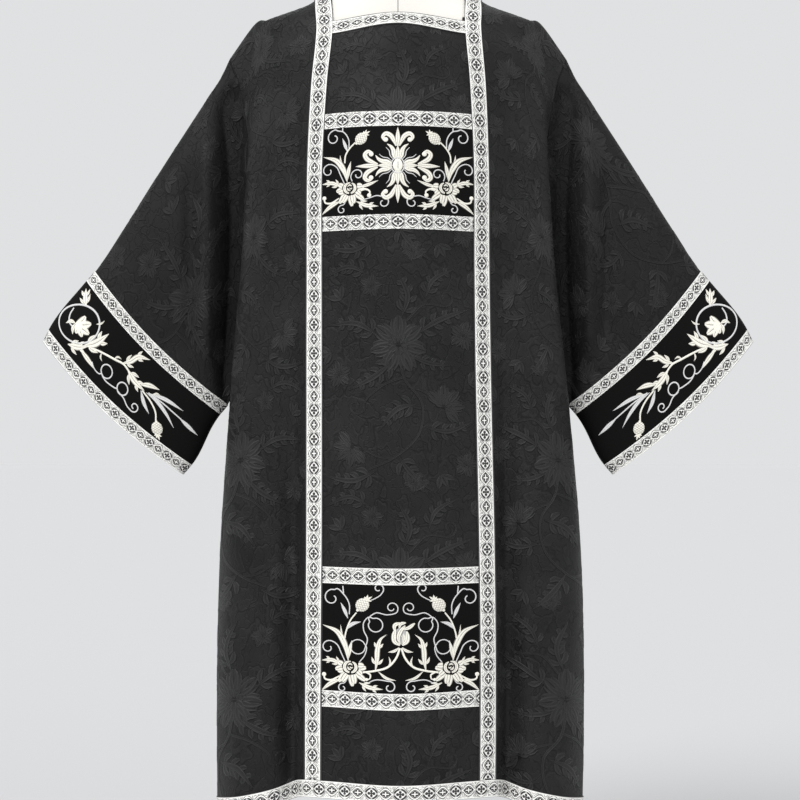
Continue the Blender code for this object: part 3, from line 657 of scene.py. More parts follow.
class Stitches:
    """Flat shapes in millimetres: grids of points with heights, cloth coordinates and a thread number."""

    def __init__(self, section=None, height=0.7, step=1.6, threads=ALL_THREADS):
        self.shapes = []
        self.section, self.height, self.step, self.threads = section, height, step, threads

    def strip(self, path, widths, thread=STEM_THREAD, section=ROUND, base=0.0):
        """A strip of stitches along a smooth path, as wide as widths say from start to end."""
        path = np.array(path, float)
        length = running_length(path)
        share = np.linspace(0, 1, max(4, int(length[-1] / self.step) + 1))
        line = curve(length, path, share * length[-1])
        wide = np.clip(curve(np.linspace(0, 1, len(widths)), widths, share), LEAST_WIDTH, None)[:, None]
        way = unit(np.gradient(line, axis=0))
        side = joined(-way[:, 1], way[:, 0])
        offsets, heights = np.array(self.section or section).T
        points = line[:, None] + side[:, None] * (offsets * wide / 2)[..., None]
        lift = base + self.height * heights * np.sqrt(wide / wide.max())
        places = joined((share * length[-1])[:, None], offsets) * MM
        self.shapes.append((points, lift, places, self.threads[thread]))

    def silver(self, path, widths=SILVER_WIDTHS, base=0.0):
        self.strip(path, widths, SILVER_THREAD, base=base)

    def leaf(self, path, width, thread=LEAF_THREAD, base=0.0, widths=LEAF):
        self.strip(path, np.array(widths) * width, thread, VEINED, base)

    def petal(self, start, tip, width, thread=LEAF_THREAD, base=0.0, widths=PETAL):
        """A straight leaf."""
        self.leaf([start, (start + tip) / 2, tip], width, thread, base, widths)

    def dome(self, x, y, radius_x, radius_y, turn, thread, height=1.6, base=0.0, rings=5, sides=20):
        """A padded round or oval patch."""
        radius = np.sin(np.linspace(0, np.pi / 2, rings))[::-1, None]
        angle = np.linspace(0, 2 * np.pi, sides + 1)
        flat = joined(radius_x * radius * np.cos(angle), radius_y * radius * np.sin(angle))
        lift = np.repeat(base + self.height * height * np.sqrt(1 - radius ** 2), sides + 1, axis=1)
        self.shapes.append((turned_shape(flat, turn, x, y), lift, flat * MM, self.threads[thread]))

    def copies(self, shapes, x=0.0, y=0.0, turn=0.0, flip=False):
        """Add shapes again, mirrored, turned and moved."""
        self.shapes += [(turned_shape(points, turn, x, y, flip), *rest) for points, *rest in shapes]

    def mirror(self):
        """Add the mirror image of all shapes about x = 0."""
        self.copies(list(self.shapes), flip=True)

    def lay(self, name, surface, to_cloth, base, materials):
        """Lay the shapes on a surface as one mesh. to_cloth gives the surface's coordinates."""
        maker = MeshMaker()
        for points, lift, places, thread in self.shapes:
            low, normal = surface.at(*to_cloth(points[..., 0], points[..., 1]))
            maker.add_grid(low + normal * (base + lift * MM)[..., None], places, normal, slot=thread)
        return maker.finish(name, materials, weld=None, sharp=1.2)


def curl(x, y, radius, start, turns, inner=0.3):
    """Points of a spiral round x, y from its outer end, which lies at the start angle."""
    share = np.linspace(0, 1, max(5, int(abs(turns) * 14)))
    size = radius * (1 - (1 - inner) * share ** 0.8)
    angle = np.radians(start + 360 * turns * share)
    return [(x + r * np.cos(a), y + r * np.sin(a)) for r, a in zip(size, angle)]


def place_on(path, share, step):
    """The point at a share of a path's length, the way ahead there and the way to its left."""
    length = running_length(path)
    here, ahead = curve(length, path, np.array([share, share + step]) * length[-1])
    way = unit(ahead - here)
    return here, way, np.array([-way[1], way[0]])


def add_acanthus(work, path, width):
    """A slender leaf with two pointed lobes on both sides."""
    path = np.array(path, float)
    for share, reach in ((0.16, width * 0.62), (0.58, width * 0.48)):
        here, way, out = place_on(path, share, 0.05)
        for side in (-1, 1):
            middle = here + (out * side * 0.62 + way * 0.45) * reach * 0.6
            work.leaf([here, middle, here + (out * side * 0.85 + way * 1.05) * reach], width * 0.30)
    work.leaf(path, width * 0.52, base=0.2)


def add_knob_leaf(work, path, width, knob):
    """A strip that widens and ends in a round knob."""
    work.strip(path, (width * 0.5, width, width * 0.8, width * 0.7))
    work.dome(*path[-1], knob, knob, 0, STEM_THREAD, 1.1)


def add_rose(work, x, y, size):
    """A full rose: thick crescent petals round a heart, over a skirt of broad frilled petals."""
    bud = np.array([x, y + size * 0.20])
    for k, angle in enumerate(range(165, 380, 21)):
        lean, short, base = ((-6, 0.88, 0.4), (6, 1, 0.0))[k % 2]
        reach = size * short * (1.45 if 215 < angle < 330 else 1.12)
        work.petal(bud + direction(angle) * size * 0.60, bud + direction(angle + lean) * reach,
                   size * 0.48, base=base, widths=FRILL)
    for begin, end in ((84, 262), (70, -80)):
        arc = [bud + direction(a) * size * 0.42 for a in np.linspace(begin, end, 7)]
        work.strip(arc, np.array((0.3, 0.8, 1.0, 0.9, 0.5)) * size * 0.27, LEAF_THREAD, VEINED, base=0.8)
    for path, width in (([(-0.17, 0.12), (-0.02, 0.24), (0.17, 0.14)], 0.15),
                        ([(-0.19, 0.02), (-0.10, -0.16), (0.06, -0.20)], 0.16),
                        ([(0.19, 0.02), (0.10, -0.08), (-0.03, 0.02)], 0.14)):
        work.leaf([bud + np.array(p) * size for p in path], width * size, base=1.0, widths=PETAL)


def add_bud(work, x, y):
    """A closed rosebud with one petal turned out."""
    work.dome(x, y + 2, 9.0, 12.0, 0, SILVER_THREAD, 0.4)
    for path, width in (
            ([(-1, -11), (-8, -6), (-9, 3), (-7, 12)], 7.0), ([(2, -11), (8, -6), (9, 2), (8, 9)], 7.0),
            ([(-1, -9), (-3, 0), (0, 9), (6, 17)], 6.0), ([(3, -9), (4, -1), (4, 6)], 4.4),
            ([(-8, 9), (-8, 17), (-1, 21)], 6.0), ([(2, 12), (9, 13), (19, 20)], 5.5),
            ([(-2, 13), (0, 19), (7, 21)], 5.0)):
        work.leaf(np.array(path) + (x, y), width, base=0.4, widths=PETAL)


def add_pod(work, x, y, radius, turn):
    """A netted seed pod with a small crown, which points along turn."""
    centre = np.array([x, y])
    way = direction(turn)
    work.dome(x, y, radius * 1.06, radius * 0.94, turn, NET_THREAD, 1.9)
    for spread, reach in ((-58, 0.75), (-14, 1.0), (26, 0.85), (70, 0.62)):
        start = centre + way * radius * 0.92
        work.petal(start, start + direction(turn + spread) * radius * reach, radius * 0.32, STEM_THREAD,
                   0.3, LEAF)
    work.strip([centre - way * radius * 1.25, centre - way * radius * 0.8], (radius * 0.25, radius * 0.7))


def add_tendril(work, path, width=1.7, thread=SILVER_THREAD):
    work.strip(path, (width * 0.9, width, width * 0.9), thread)


# Designs on the bands

def add_fleury_arm(work, x, y, turn, length):
    """One arm of the cross: a tulip, then a lily with two curled leaves."""
    arm = Stitches()
    for side in (-1, 1):
        for path, widths, thread, base in (
                ([(8, 2.4), (15, 5.0), (22, 6.4), (27, 9.5), (31, 15)], (3.2, 7.6, 7.2, 4.8, 0.9),
                 LEAF_THREAD, 0.2),
                ([(8, 5.5), (14, 10.6), (21, 12.2), (26, 16.5)], (0.9, 1.4, 1.4, 0.7), SILVER_THREAD, 0.0),
                ([(28, 2.0), (36, 5.5), (43.5, 10.5), (46, 17), (41.5, 21), (36.5, 18.5)],
                 (2.6, 5.6, 7.4, 7.4, 6.2, 4.4), LEAF_THREAD, 0.0)):
            arm.strip(np.array(path) * (1, side), widths, thread, base=base)
        arm.dome(37.4, side * 17.0, 3.4, 3.4, 0, STEM_THREAD, 1.3)
    arm.leaf([(7, 0), (17, 0), (29, 0)], 7.0, base=0.5)
    arm.leaf([(26, 0), (40, 0), (length, 0)], 7.2, base=0.5)
    work.copies(arm.shapes, x, y, turn)


def add_rose_spray(work, x, y, tall):
    """The leaves and curls round an apparel's lower rose, for the half with negative x."""
    spray = Stitches()
    spray.leaf([(-4, 12), (-9, 29 * tall), (-19, 43 * tall), (-40, 51 * tall)], 9.0, base=0.3)
    spray.leaf([(-6, 20), (-13, 38 * tall), (-15, 52 * tall)], 5.0)
    spray.leaf([(-4, 14), (-2, 28), (1, 41)], 6.0, base=0.1)
    add_acanthus(spray, [(-13, 5), (-26, 11), (-42, 10)], 12)
    add_knob_leaf(spray, [(-16, -11), (-29, -18), (-37, -16), (-38, -10)], 3.2, 3.0)
    spray.leaf([(-13, -15), (-28, -22), (-42, -34)], 6.6)
    spray.silver([(-6, -16), *curl(-12, -28, 7.2, 75, 1.0)], (1.5, 1.7, 1.6))
    spray.silver([(-8, 9), (-14, 22), (-20, 34), *curl(-32, 29, 11.0, 50, 0.95)])
    work.copies(spray.shapes, x, y)


def upper_design():
    work = Stitches()
    add_rose_spray(work, -67, -27, 0.98)
    add_rose(work, -67, -28, 18)
    work.leaf([(-56, -24), (-42, -21), (-27, -15)], 5.4)
    add_knob_leaf(work, [(-54, -30), (-45, -27), (-39, -31), (-40, -36)], 3.0, 3.0)
    add_acanthus(work, [(-58, -44), (-45, -50), (-27, -52)], 13)
    work.silver([(-52, -43), (-40, -40), (-28, -37), *curl(-20, -47, 9.6, 110, -1.0)])
    work.silver([(-64, -15), (-66, -8), *curl(-56, -6, 9.0, 165, -1.0)])
    add_tendril(work, [(-75, 12), (-74, 23), (-68, 33), (-60, 41)], 2.2, STEM_THREAD)
    add_pod(work, -52, 46, 8.6, 46)
    work.leaf([(-71, 28), (-75, 38), (-79, 48)], 4.8, SILVER_THREAD)
    work.silver([(-69, 33), (-70, 46), (-78, 57), (-88, 60), *curl(-92, 49, 12.0, 75, 1.0)], WIDE_SILVER)
    add_tendril(work, [(-79, 58), (-79, 63)], 1.8)
    work.mirror()
    for turn, length in ((90, 55), (270, 54), (0, 59), (180, 59)):
        add_fleury_arm(work, 0, 6, turn, length)
    work.silver([(9.0 * np.cos(a), 6 + 11.0 * np.sin(a)) for a in np.linspace(0, 2 * np.pi, 24)],
                (1.8, 1.8), 0.6)
    work.dome(0, 6, 7.0, 9.2, 0, STEM_THREAD, base=0.5)
    work.silver([(0, 11), (0, 2)], (1.6, 1.2), 2.0)
    return work


def lower_design():
    work = Stitches()
    add_rose_spray(work, -67, -44, 1.2)
    add_rose(work, -68, -45, 19)
    add_acanthus(work, [(-56, -63), (-42, -69), (-24, -71)], 13)
    work.silver([(-46, -64), (-34, -58), (-24, -58), *curl(-15, -68, 9.6, 110, -1.0)])
    add_tendril(work, [(-51, -48), (-34, -45), (-17, -39), (-6, -26), (-1, -12)], 3.0, STEM_THREAD)
    work.leaf([(-30, -46), (-19, -55), (-6, -58)], 4.4)
    add_knob_leaf(work, [(-47, -48), (-41, -51), (-42, -57), (-46, -58)], 2.4, 2.2)
    work.leaf([(-17, -39), (-14, -33), (-16, -24)], 3.0)
    add_acanthus(work, [(-34, -45), (-32, -31), (-31, -14), (-27, 0), (-19, 7)], 15)
    add_tendril(work, [(-72, -22), (-76, 0), (-73, 14), (-68, 26), (-60, 37)], 2.2, STEM_THREAD)
    add_pod(work, -52, 48, 9.6, 50)
    work.silver([(-40, 55), (-34, 58), (-27, 63), *curl(-30, 72, 8.0, -50, 1.0, 0.35)])
    work.leaf([(-72, 28), (-76, 38), (-82, 50)], 5.0, SILVER_THREAD)
    work.leaf([(-74, 12), (-66, 20), (-54, 24)], 5.4, SILVER_THREAD)
    work.silver([(-70, 34), (-70, 48), (-77, 61), (-89, 69), *curl(-94, 56, 13.5, 70, 0.95)], WIDE_SILVER)
    add_tendril(work, [(-78, 63), (-79, 74)], 1.8)
    work.silver([(-56, -34), (-48, -22), (-47, -10), *curl(-58, -12, 10.4, 20, 0.93, 0.96),
                 (-45, 0), (-50, 12), (-50, 23), (-42, 31), *curl(-34, 20, 10.0, 110, -0.9, 0.96),
                 (-43, 27), (-34, 37), (-17, 35), *curl(-12, 45, 9.2, -35, 1.05, 0.34)],
                (1.5, 1.7, 1.7, 1.7, 1.6))
    work.leaf([(-2, -11), (-8, -16), (-17, -18)], 4.6)
    work.mirror()
    add_bud(work, 0, 3)
    return work


def cuff_design():
    """Sprig on half a cuff band: x down from the top fold, y towards the cuff's edge."""
    work = Stitches()
    work.silver([(36 + 27 * np.cos(a) + 18 * np.sin(a), 1 - 24 * np.cos(a) + 20 * np.sin(a))
                 for a in np.radians(np.arange(190, -190, -14))], (2.4, 2.9, 2.9, 2.4))
    add_acanthus(work, [(28, -25), (20, -30), (9, -40)], 17)
    work.leaf([(58, -20), (64, -27), (65, -33)], 3.4)
    rose = Stitches()
    for tilt, reach, width in ((60, 21, 13), (20, 22, 13), (-20, 18, 12), (100, 16, 12), (150, 12, 10)):
        tip = direction(tilt) * reach
        rose.leaf([(-4, -4), tip / 2, tip], width, base=0.4, widths=PETAL)
    rose.leaf([(-3, -5), (-11, -2), (-16, 5)], 7.0)
    rose.leaf([(-3, -5), (-9, -12), (-19, -14)], 6.0)
    work.copies(rose.shapes, 38, 3, -72)
    work.silver([(14, -9), (16, 3), (22, 11), (31, 12)], (2.0, 2.6, 2.4))
    add_acanthus(work, [(40, 36), (54, 28), (68, 14)], 19)
    add_acanthus(work, [(62, 18), (74, 2), (83, -25)], 24)
    work.leaf([(60, 26), (76, 27), (97, 30)], 8.0)
    add_tendril(work, [(70, 12), (90, 3), (113, -5), (130, -10), (145, -7)], 3.2, STEM_THREAD)
    work.leaf([(91, 3), (94, 10), (99, 12)], 3.4)
    work.leaf([(112, -5), (116, -12), (122, -13)], 3.4)
    add_acanthus(work, [(126, -9), (136, -22), (140, -32), (158, -42)], 17)
    add_acanthus(work, [(138, -9), (156, -3), (177, -2)], 20)
    work.leaf([(165, -4), (180, -14), (196, -19)], 8.0)
    work.leaf([(172, 1), (186, 14), (200, 22)], 6.4, SILVER_THREAD)
    add_tendril(work, [(174, 0), (194, 5), (208, 14), (214, 24)], 2.8, STEM_THREAD)
    add_pod(work, 221, 32, 9.4, 52)
    work.leaf([(181, -2), (202, -2), (222, 4), (242, 15)], 6.2, SILVER_THREAD)
    work.leaf([(186, -4), (210, -13), (243, -17)], 6.2, SILVER_THREAD)
    add_tendril(work, [(184, -4), (211, -6), (232, -5), (247, -4)], 2.4)
    work.leaf([(243, -4), (258, -2), (278, 1)], 6.6, SILVER_THREAD)
    work.leaf([(190, -5), (196, -12), (203, -13)], 3.2)
    work.silver([(86, 25), (96, 30), (106, 29), *curl(113, 18, 10.0, 120, -1.0, 0.96),
                 (118, 30), (130, 29), (138, 27), *curl(147, 20, 9.4, 140, -1.0, 0.96),
                 (156, 30), (168, 36), *curl(176, 29, 8.6, 120, -1.1, 0.34)], (1.9, 2.2, 2.2, 2.0))
    work.mirror()
    return work


# Woven figure of the silk

# Flowers: x, y, size, number of petals, turn, and the arc of one that is seen from the side
DAMASK_FLOWERS = (
    (0, 0, 42, 7, 90), (66, -88, 31, 5, 40, (-70, 160)), (-68, -146, 29, 5, 210, (110, 330)),
    (96, 14, 22, 5, 0), (-88, -42, 20, 5, 30), (98, -172, 19, 5, 0),
    (20, -196, 15, 5, 50), (-40, 84, 17, 5, 10),
)
# Stems: path and widths
DAMASK_STEMS = (
    ([(0, -12), (8, -48), (34, -84), (30, -124), (-6, -160), (-44, -178)], (5.0, 5.0, 4.5, 4.0)),
    ([(14, -60), (34, -66), (52, -76)], (4.0, 4.0)),
    ([(-8, -162), (-30, -160), (-50, -150)], (4.0, 4.0)),
)
# Stems with a curl: path and curl
DAMASK_CURLS = (
    ([(8, -46), (-26, -60), (-50, -92)], (-62, -88, 13, -20, -0.9)),
    ([(26, -132), (58, -150), (72, -140)], (84, -140, 12, 180, -0.9)),
    ([(12, 34), (40, 58), (62, 56)], (70, 68, 13, -90, 0.9)),
)
# Leaves: path and width
DAMASK_LEAVES = (
    ([(-6, -22), (-30, -42), (-74, -66)], 24), ([(28, -84), (-2, -92), (-30, -124)], 24),
    ([(38, -118), (70, -124), (112, -108)], 22), ([(-2, -158), (10, -176), (50, -212)], 24),
    ([(-34, -180), (-64, -194), (-112, -188)], 24), ([(26, 14), (58, 34), (110, 54)], 24),
    ([(-28, 12), (-60, 30), (-106, 28)], 24), ([(4, 38), (14, 66), (-4, 108)], 24),
    ([(-44, 100), (-70, 112), (-112, 96)], 20), ([(40, 66), (50, 90), (88, 112)], 20),
    ([(12, -14), (44, -26), (84, -30)], 20),
)
# Tufts of three small leaves: x, y and turn
DAMASK_TUFTS = ((-112, -96, 150), (104, -56, 30), (-100, -10, 200), (60, -186, 300), (-84, 66, 130),
                (22, 122, 80), (104, 88, 30))
REPEAT_WIDE = 250
REPEAT_HIGH = 330


def damask_repeat():
    """One repeat of the woven flowers, drawn round 0, 0."""
    work = Stitches(WOVEN, 0.26, 5.0, (0, 0, 0, 0))
    for flower in DAMASK_FLOWERS:
        add_damask_flower(work, *flower)
    for path, widths in DAMASK_STEMS:
        work.strip(path, widths)
    for path, end in DAMASK_CURLS:
        work.strip([*path, *curl(*end, 0.34)], (4.5, 4.0, 3.2))
    for path, width in DAMASK_LEAVES:
        add_damask_leaf(work, np.array(path, float), width)
    for x, y, turn in DAMASK_TUFTS:
        for spread in (-42, 0, 42):
            work.petal(np.array([x, y]), np.array([x, y]) + direction(turn + spread) * 20, 11)
    return work.shapes


def add_damask_flower(work, x, y, size, petals, turn, arc=None):
    """A blossom of broad scalloped petals, whole or seen from the side within an arc of degrees."""
    centre = np.array([x, y])
    spread = (arc[1] - arc[0] if arc else 360) / petals
    for k in range(petals):
        angle = (arc[0] + spread / 2 if arc else turn) + spread * k
        start = centre + direction(angle) * size * 0.12
        for side, reach, width, base in ((-0.27, 0.90, 0.40, 0.0), (0.27, 0.90, 0.40, 0.0),
                                         (0, 1.0, 0.56, 0.04)):
            tip = centre + direction(angle + side * spread) * size * reach
            bulge = centre + direction(angle + side * spread * 1.1) * size * 0.62
            work.leaf([start, bulge, tip], size * width * min(1.0, spread / 60), base=base, widths=PETAL)
        work.petal(centre, centre + direction(angle + spread / 2) * size * 0.46, size * 0.30, base=0.08)
    work.dome(x, y, size * 0.14, size * 0.14, 0, 0, 1.2, sides=12, rings=3)


def add_damask_leaf(work, path, width):
    """A broad leaf with rounded lobes that lean towards its tip."""
    work.leaf(path, width * 0.42, base=0.06)
    for k in range(4):
        here, way, out = place_on(path, 0.14 + 0.19 * k, 0.06)
        reach = width * (0.72 - 0.12 * k)
        for side in (-1, 1):
            bulge = here + (out * side * 0.55 + way * 0.25) * reach
            tip = here + (out * side * 0.85 + way * 0.75) * reach
            work.leaf([here, bulge, tip], width * 0.42, widths=PETAL)


def damask(name, surface, low, high, material, to_cloth, offset):
    """Lay the woven repeat over a surface between two corners of its cloth, in millimetres."""
    repeat = damask_repeat()
    work = Stitches()
    low, high, offset = np.array((low, high, offset), float)
    size = np.array([REPEAT_WIDE, REPEAT_HIGH])
    first = np.floor((low - offset) / size).astype(int) - 1
    last = np.ceil((high - offset) / size).astype(int) + 2
    for column in range(first[0], last[0]):
        for row in range(first[1], last[1]):
            odd = column % 2
            x, y = np.array([column, row + 0.5 * odd]) * size + offset
            work.copies(repeat, x, y, flip=bool(odd))
    work.shapes = [shape for shape in work.shapes
                   if np.all(shape[0].max(axis=(0, 1)) > low) and np.all(shape[0].min(axis=(0, 1)) < high)]
    return work.lay(name, surface, to_cloth, FIGURE_GAP, [material])


# Materials

class Field:
    """A value worked out by a material's nodes, written as ordinary arithmetic."""

    def __init__(self, paint, socket):
        self.paint, self.socket = paint, socket

    def math(self, kind, *values):
        node = self.paint.node("Math", self, *values)
        node.operation = kind
        return Field(self.paint, node.outputs[0])

    def __add__(self, other):
        return self.math("ADD", other)

    def __sub__(self, other):
        return self.math("SUBTRACT", other)

    def __mul__(self, other):
        return self.math("MULTIPLY", other)

    def __truediv__(self, other):
        return self.math("DIVIDE", other)

    def __abs__(self):
        return self.math("ABSOLUTE")

    def most(self, *others):
        """The largest of the values."""
        return self.math("MAXIMUM", others[0]).most(*others[1:]) if others else self

    def clamp(self):
        return self.most(0.0).math("MINIMUM", 1.0)

    def line(self, middle, half, soft):
        """1 where the value is within half of middle, falling to 0 over soft."""
        return ((abs(self - middle) * -1.0 + half) / soft + 0.5).clamp()

    def below(self, limit, soft):
        """1 where the value is under the limit, falling to 0 over soft."""
        return ((self * -1.0 + limit) / soft + 0.5).clamp()

    def above(self, limit, soft):
        return ((self - limit) / soft + 0.5).clamp()

    def wave(self, period):
        return (self * (2 * np.pi / period)).math("SINE")


class Paint:
    """A material with its nodes. Its fields are in millimetres."""

    def __init__(self, name, colour, rough, **values):
        self.made = bpy.data.materials.new(name)
        self.made.use_nodes = True
        self.tree = self.made.node_tree
        self.inputs = self.tree.nodes["Principled BSDF"].inputs
        self.put(self.inputs["Base Color"], colour)
        self.put(self.inputs["Roughness"], rough)
        for key, value in values.items():
            self.put(self.inputs[key.replace("_", " ")], value)

    def put(self, entry, value):
        """Link a field to an input, or set the input to a number or colour."""
        if isinstance(value, Field):
            self.tree.links.new(value.socket, entry)
        else:
            entry.default_value = (*value, 1.0) if isinstance(value, tuple) else value

    def node(self, kind, *values):
        """A new node with the values in its first inputs."""
        node = self.tree.nodes.new("ShaderNode" + kind)
        for entry, value in zip(node.inputs, values):
            self.put(entry, value)
        return node

    def parts(self, source, count):
        node = self.node("SeparateXYZ", Field(self, source))
        return [Field(self, node.outputs[k]) * 1000.0 for k in range(count)]

    def cloth(self):
        """The cloth's coordinates along and across."""
        source = self.node("UVMap")
        source.uv_map = "cloth"
        return self.parts(source.outputs[0], 2)

    def place(self):
        """The piece's own x, y and z."""
        return self.parts(self.node("TexCoord").outputs["Object"], 3)

    def noise(self, scale, detail, *places):
        made = self.node("TexNoise")
        self.put(made.inputs["Scale"], scale)
        self.put(made.inputs["Detail"], detail)
        self.put(made.inputs["Vector"], Field(self, self.node("CombineXYZ", *places).outputs[0]))
        return Field(self, made.outputs[0])

    def mix(self, share, first, second):
        """The first colour where the share is 0, the second where it is 1."""
        node = self.node("Mix", share)
        node.data_type = "RGBA"
        self.put(node.inputs[6], first)
        self.put(node.inputs[7], second)
        return Field(self, node.outputs[2])

    def finish(self, colour, rough, height, distance, strength):
        """Colour, roughness and bumps, where one that is None stays as it is."""
        for name, value in (("Base Color", colour), ("Roughness", rough)):
            if value is not None:
                self.put(self.inputs[name], value)
        bump = self.node("Bump")
        for name, value in (("Strength", strength), ("Distance", distance), ("Height", height)):
            self.put(bump.inputs[name], value)
        self.put(self.inputs["Normal"], Field(self, bump.outputs[0]))
        return self.made


def silk_material(name, dark, light, rough, shine, kind):
    """Black silk. kind: woven ground, woven figure or plain band. Ground and figure carry painted highlight
    lines and dark lines that are partly pattern and partly painted shade; the ground also has a painted
    shade line along its first rows.
    """
    paint = Paint(name, dark, rough, Sheen_Weight=0.04, Sheen_Roughness=0.35, Specular_IOR_Level=shine)
    x, y, z = paint.place()
    along, across = paint.cloth()
    slow = paint.noise(0.012, 3.0, x, y, z)
    slub = paint.noise(0.35, 3.0, x * 0.9, y * 0.9, z * 6.0)
    thread = paint.noise(0.5, 1.0, x * 5.0, y * 5.0, z)
    height = slub * 0.25 + thread * 0.25
    share = slow * 0.5 + slub * 0.45 - 0.27
    if kind == "ground":
        broad = paint.noise(0.040, 1.5, x, y, z * 0.8) - 0.5
        small = paint.noise(0.090, 1.0, x, y, z * 0.8 + 40.0) - 0.5
        # Winding dark lines of the ground, partly woven pattern and partly painted shade, each with a
        # painted highlight line beside it
        lines = broad.line(0.0, 0.012, 0.02).most(small.line(0.0, 0.014, 0.02) * 0.7)
        painted_glints = broad.line(0.040, 0.010, 0.03).most(small.line(0.045, 0.012, 0.03) * 0.7)
        # Dark line along the first rows, at a sleeve's armhole seam: painted shade of the seam's groove,
        # together with a bump groove
        seam = along.below(2.6, 1.0)
        height = height + painted_glints * 0.3 - lines * 0.5 - seam * 1.5
        share = share + painted_glints * 0.16 - lines * 0.16 - seam * 1.2
    elif kind == "figure":
        # Painted relief: the light line inside the figure's edge is a painted highlight; its dark rim and
        # vein are partly woven outline and partly painted shade
        edge = abs(across)
        lines = edge.above(0.82, 0.14).most(edge.below(0.07, 0.12) * 0.6)
        painted_glints = edge.line(0.60, 0.10, 0.14)
        share = share + 0.24 + painted_glints * 0.22 - lines * 0.62
        height = height + painted_glints * 0.5 - lines * 0.8
    colour = paint.mix(share.clamp(), dark, light)
    return paint.finish(colour, slub * 0.16 + (rough - 0.08), height, 0.0009, 0.9)


def hypotenuse(first, second):
    return (first * first + second * second).math("SQRT")


def galloon_material(name):
    """Woven braid 25 mm wide: ringed crosses and small lozenges between two crossing lines, with a painted
    shadow line along both edges.
    """
    paint = Paint(name, BRAID_LIGHT, 0.5, Specular_IOR_Level=0.35)
    along, across = paint.cloth()
    turn = (along / GALLOON_PERIOD + 0.5).math("FRACT") - 0.5
    a = abs(turn) * GALLOON_PERIOD
    b = abs(across)
    small = a.math("MINIMUM", b)
    ring = ((a / 1.18).math("POWER", 1.7) + b.math("POWER", 1.7)).math("POWER", 1 / 1.7)
    outline = ring.line(7.3, 1.35, 0.4) * (small.below(1.3, 1.2) * -0.5 + 1.0)
    petals = (hypotenuse(a - 3.7, b) - 2.25).math("MINIMUM", hypotenuse(a, b - 3.2) - 2.05).below(0.0, 0.4)
    bars = small.below(1.0, 0.4) * a.most(b).below(4.4, 0.5)
    wave = (turn * (2 * np.pi)).math("COSINE") * 8.4 + 1.3
    gap = abs(b - abs(wave))
    crossing = gap.line(1.6, 0.6, 0.4) * ring.above(8.8, 0.5) * b.below(11.0, 0.5)
    half = a * -1.0 + GALLOON_PERIOD / 2
    lozenge = half / 8.4 + b / 5.1
    arms = (b.below(0.7, 0.4) * half.below(4.8, 0.4)).most(half.below(0.8, 0.4) * b.below(3.3, 0.4))
    quarters = (lozenge * 6.0).below(6.3, 0.5) * (arms * -1.0 + 1.0)
    free = ring.above(9.4, 0.6) * lozenge.above(1.2, 0.15) * b.below(10.8, 0.5) * gap.above(1.4, 0.4)
    worms = abs(paint.noise(0.34, 1.0, along, across) - 0.5)
    fine = abs(paint.noise(0.6, 1.0, along + 90.0, across) - 0.5)
    marks = (worms.below(0.055, 0.03) * 0.65).most(fine.below(0.02, 0.04) * 0.25) * free
    # b.above(12.1, 0.5): a painted shadow line along both edges of the braid
    dark = outline.most(petals, bars, crossing * 0.95, quarters, marks, b.above(12.1, 0.5))
    grain = paint.noise(1.1, 2.0, along, across * 3.0)
    light = paint.mix(grain, tuple(c * 0.92 for c in BRAID_LIGHT), BRAID_LIGHT)
    return paint.finish(paint.mix(dark * 0.97, light, BRAID_DARK), dark * 0.2 + 0.42,
                        dark * -0.6 + along.wave(0.9) * 0.12 + grain * 0.3, 0.0005, 0.8)


def thread_material(name, light, shade, outline, net=False):
    """Satin stitches: fine lines across the shape, a dark vein line along its middle, and a dark line at its
    edges that is partly the thread's outline and partly painted shade between overlapping parts.
    """
    paint = Paint(name, light, 0.42, Specular_IOR_Level=0.35)
    along, across = paint.cloth()
    edge = abs(across)
    stitch = paint.noise(1.5, 2.0, along, across * 0.08)
    dark = stitch.below(0.44, 0.14) * 0.28
    if net:
        for slant in (0.6, -0.6):
            thread = abs((along + across * slant) * (np.pi / 3.6)).math("SINE").math("ABSOLUTE")
            dark = dark.most(thread.below(0.34, 0.3) * 0.7)
    # Dark edges: partly a thread outline, partly painted shade between overlapping stitched parts
    if outline:
        dark = dark.most(edge.above(0.76, 0.14) * (0.9 * outline), edge.below(0.08, 0.10) * (0.8 * outline))
    return paint.finish(paint.mix(dark.clamp(), light, shade), stitch * 0.2 + 0.36,
                        stitch * 0.6 + along.wave(0.8) * 0.25, 0.0003, 0.7)


def cover_material():
    """Off-white jersey of the form with its thin dark seam down the front."""
    paint = Paint("form_cover_cloth", COVER, 0.85, Sheen_Weight=0.15)
    x, y, z = paint.place()
    knit = paint.noise(0.8, 2.0, x, y, z * 2.0)
    soft = paint.noise(0.02, 2.0, x, y, z)
    seam = abs(x).below(0.7, 0.5) * y.below(0.0, 1.0)
    base = paint.mix((soft * 0.6 + knit * 0.4).clamp(), tuple(c * 0.90 for c in COVER), COVER)
    return paint.finish(paint.mix(seam * 0.85, base, COVER_SEAM), None, knit - seam, 0.0004, 0.6)


def metal_material():
    paint = Paint("brushed_stand_metal", METAL, 0.35, Metallic=0.95)
    x, y, z = paint.place()
    brushed = paint.noise(0.6, 3.0, x * 0.25, y * 0.25, z * 4.0)
    return paint.finish(None, brushed * 0.25 + 0.22, brushed, 0.0002, 0.3)


def wood_material():
    paint = Paint("turned_cap_wood", WOOD_DARK, 0.45, Coat_Weight=0.4)
    x, y, z = paint.place()
    rings = paint.noise(0.18, 4.0, x, y, z * 0.2)
    return paint.finish(paint.mix(rings, WOOD_DARK, WOOD_LIGHT), None, rings, 0.0003, 0.3)


# Stand and form

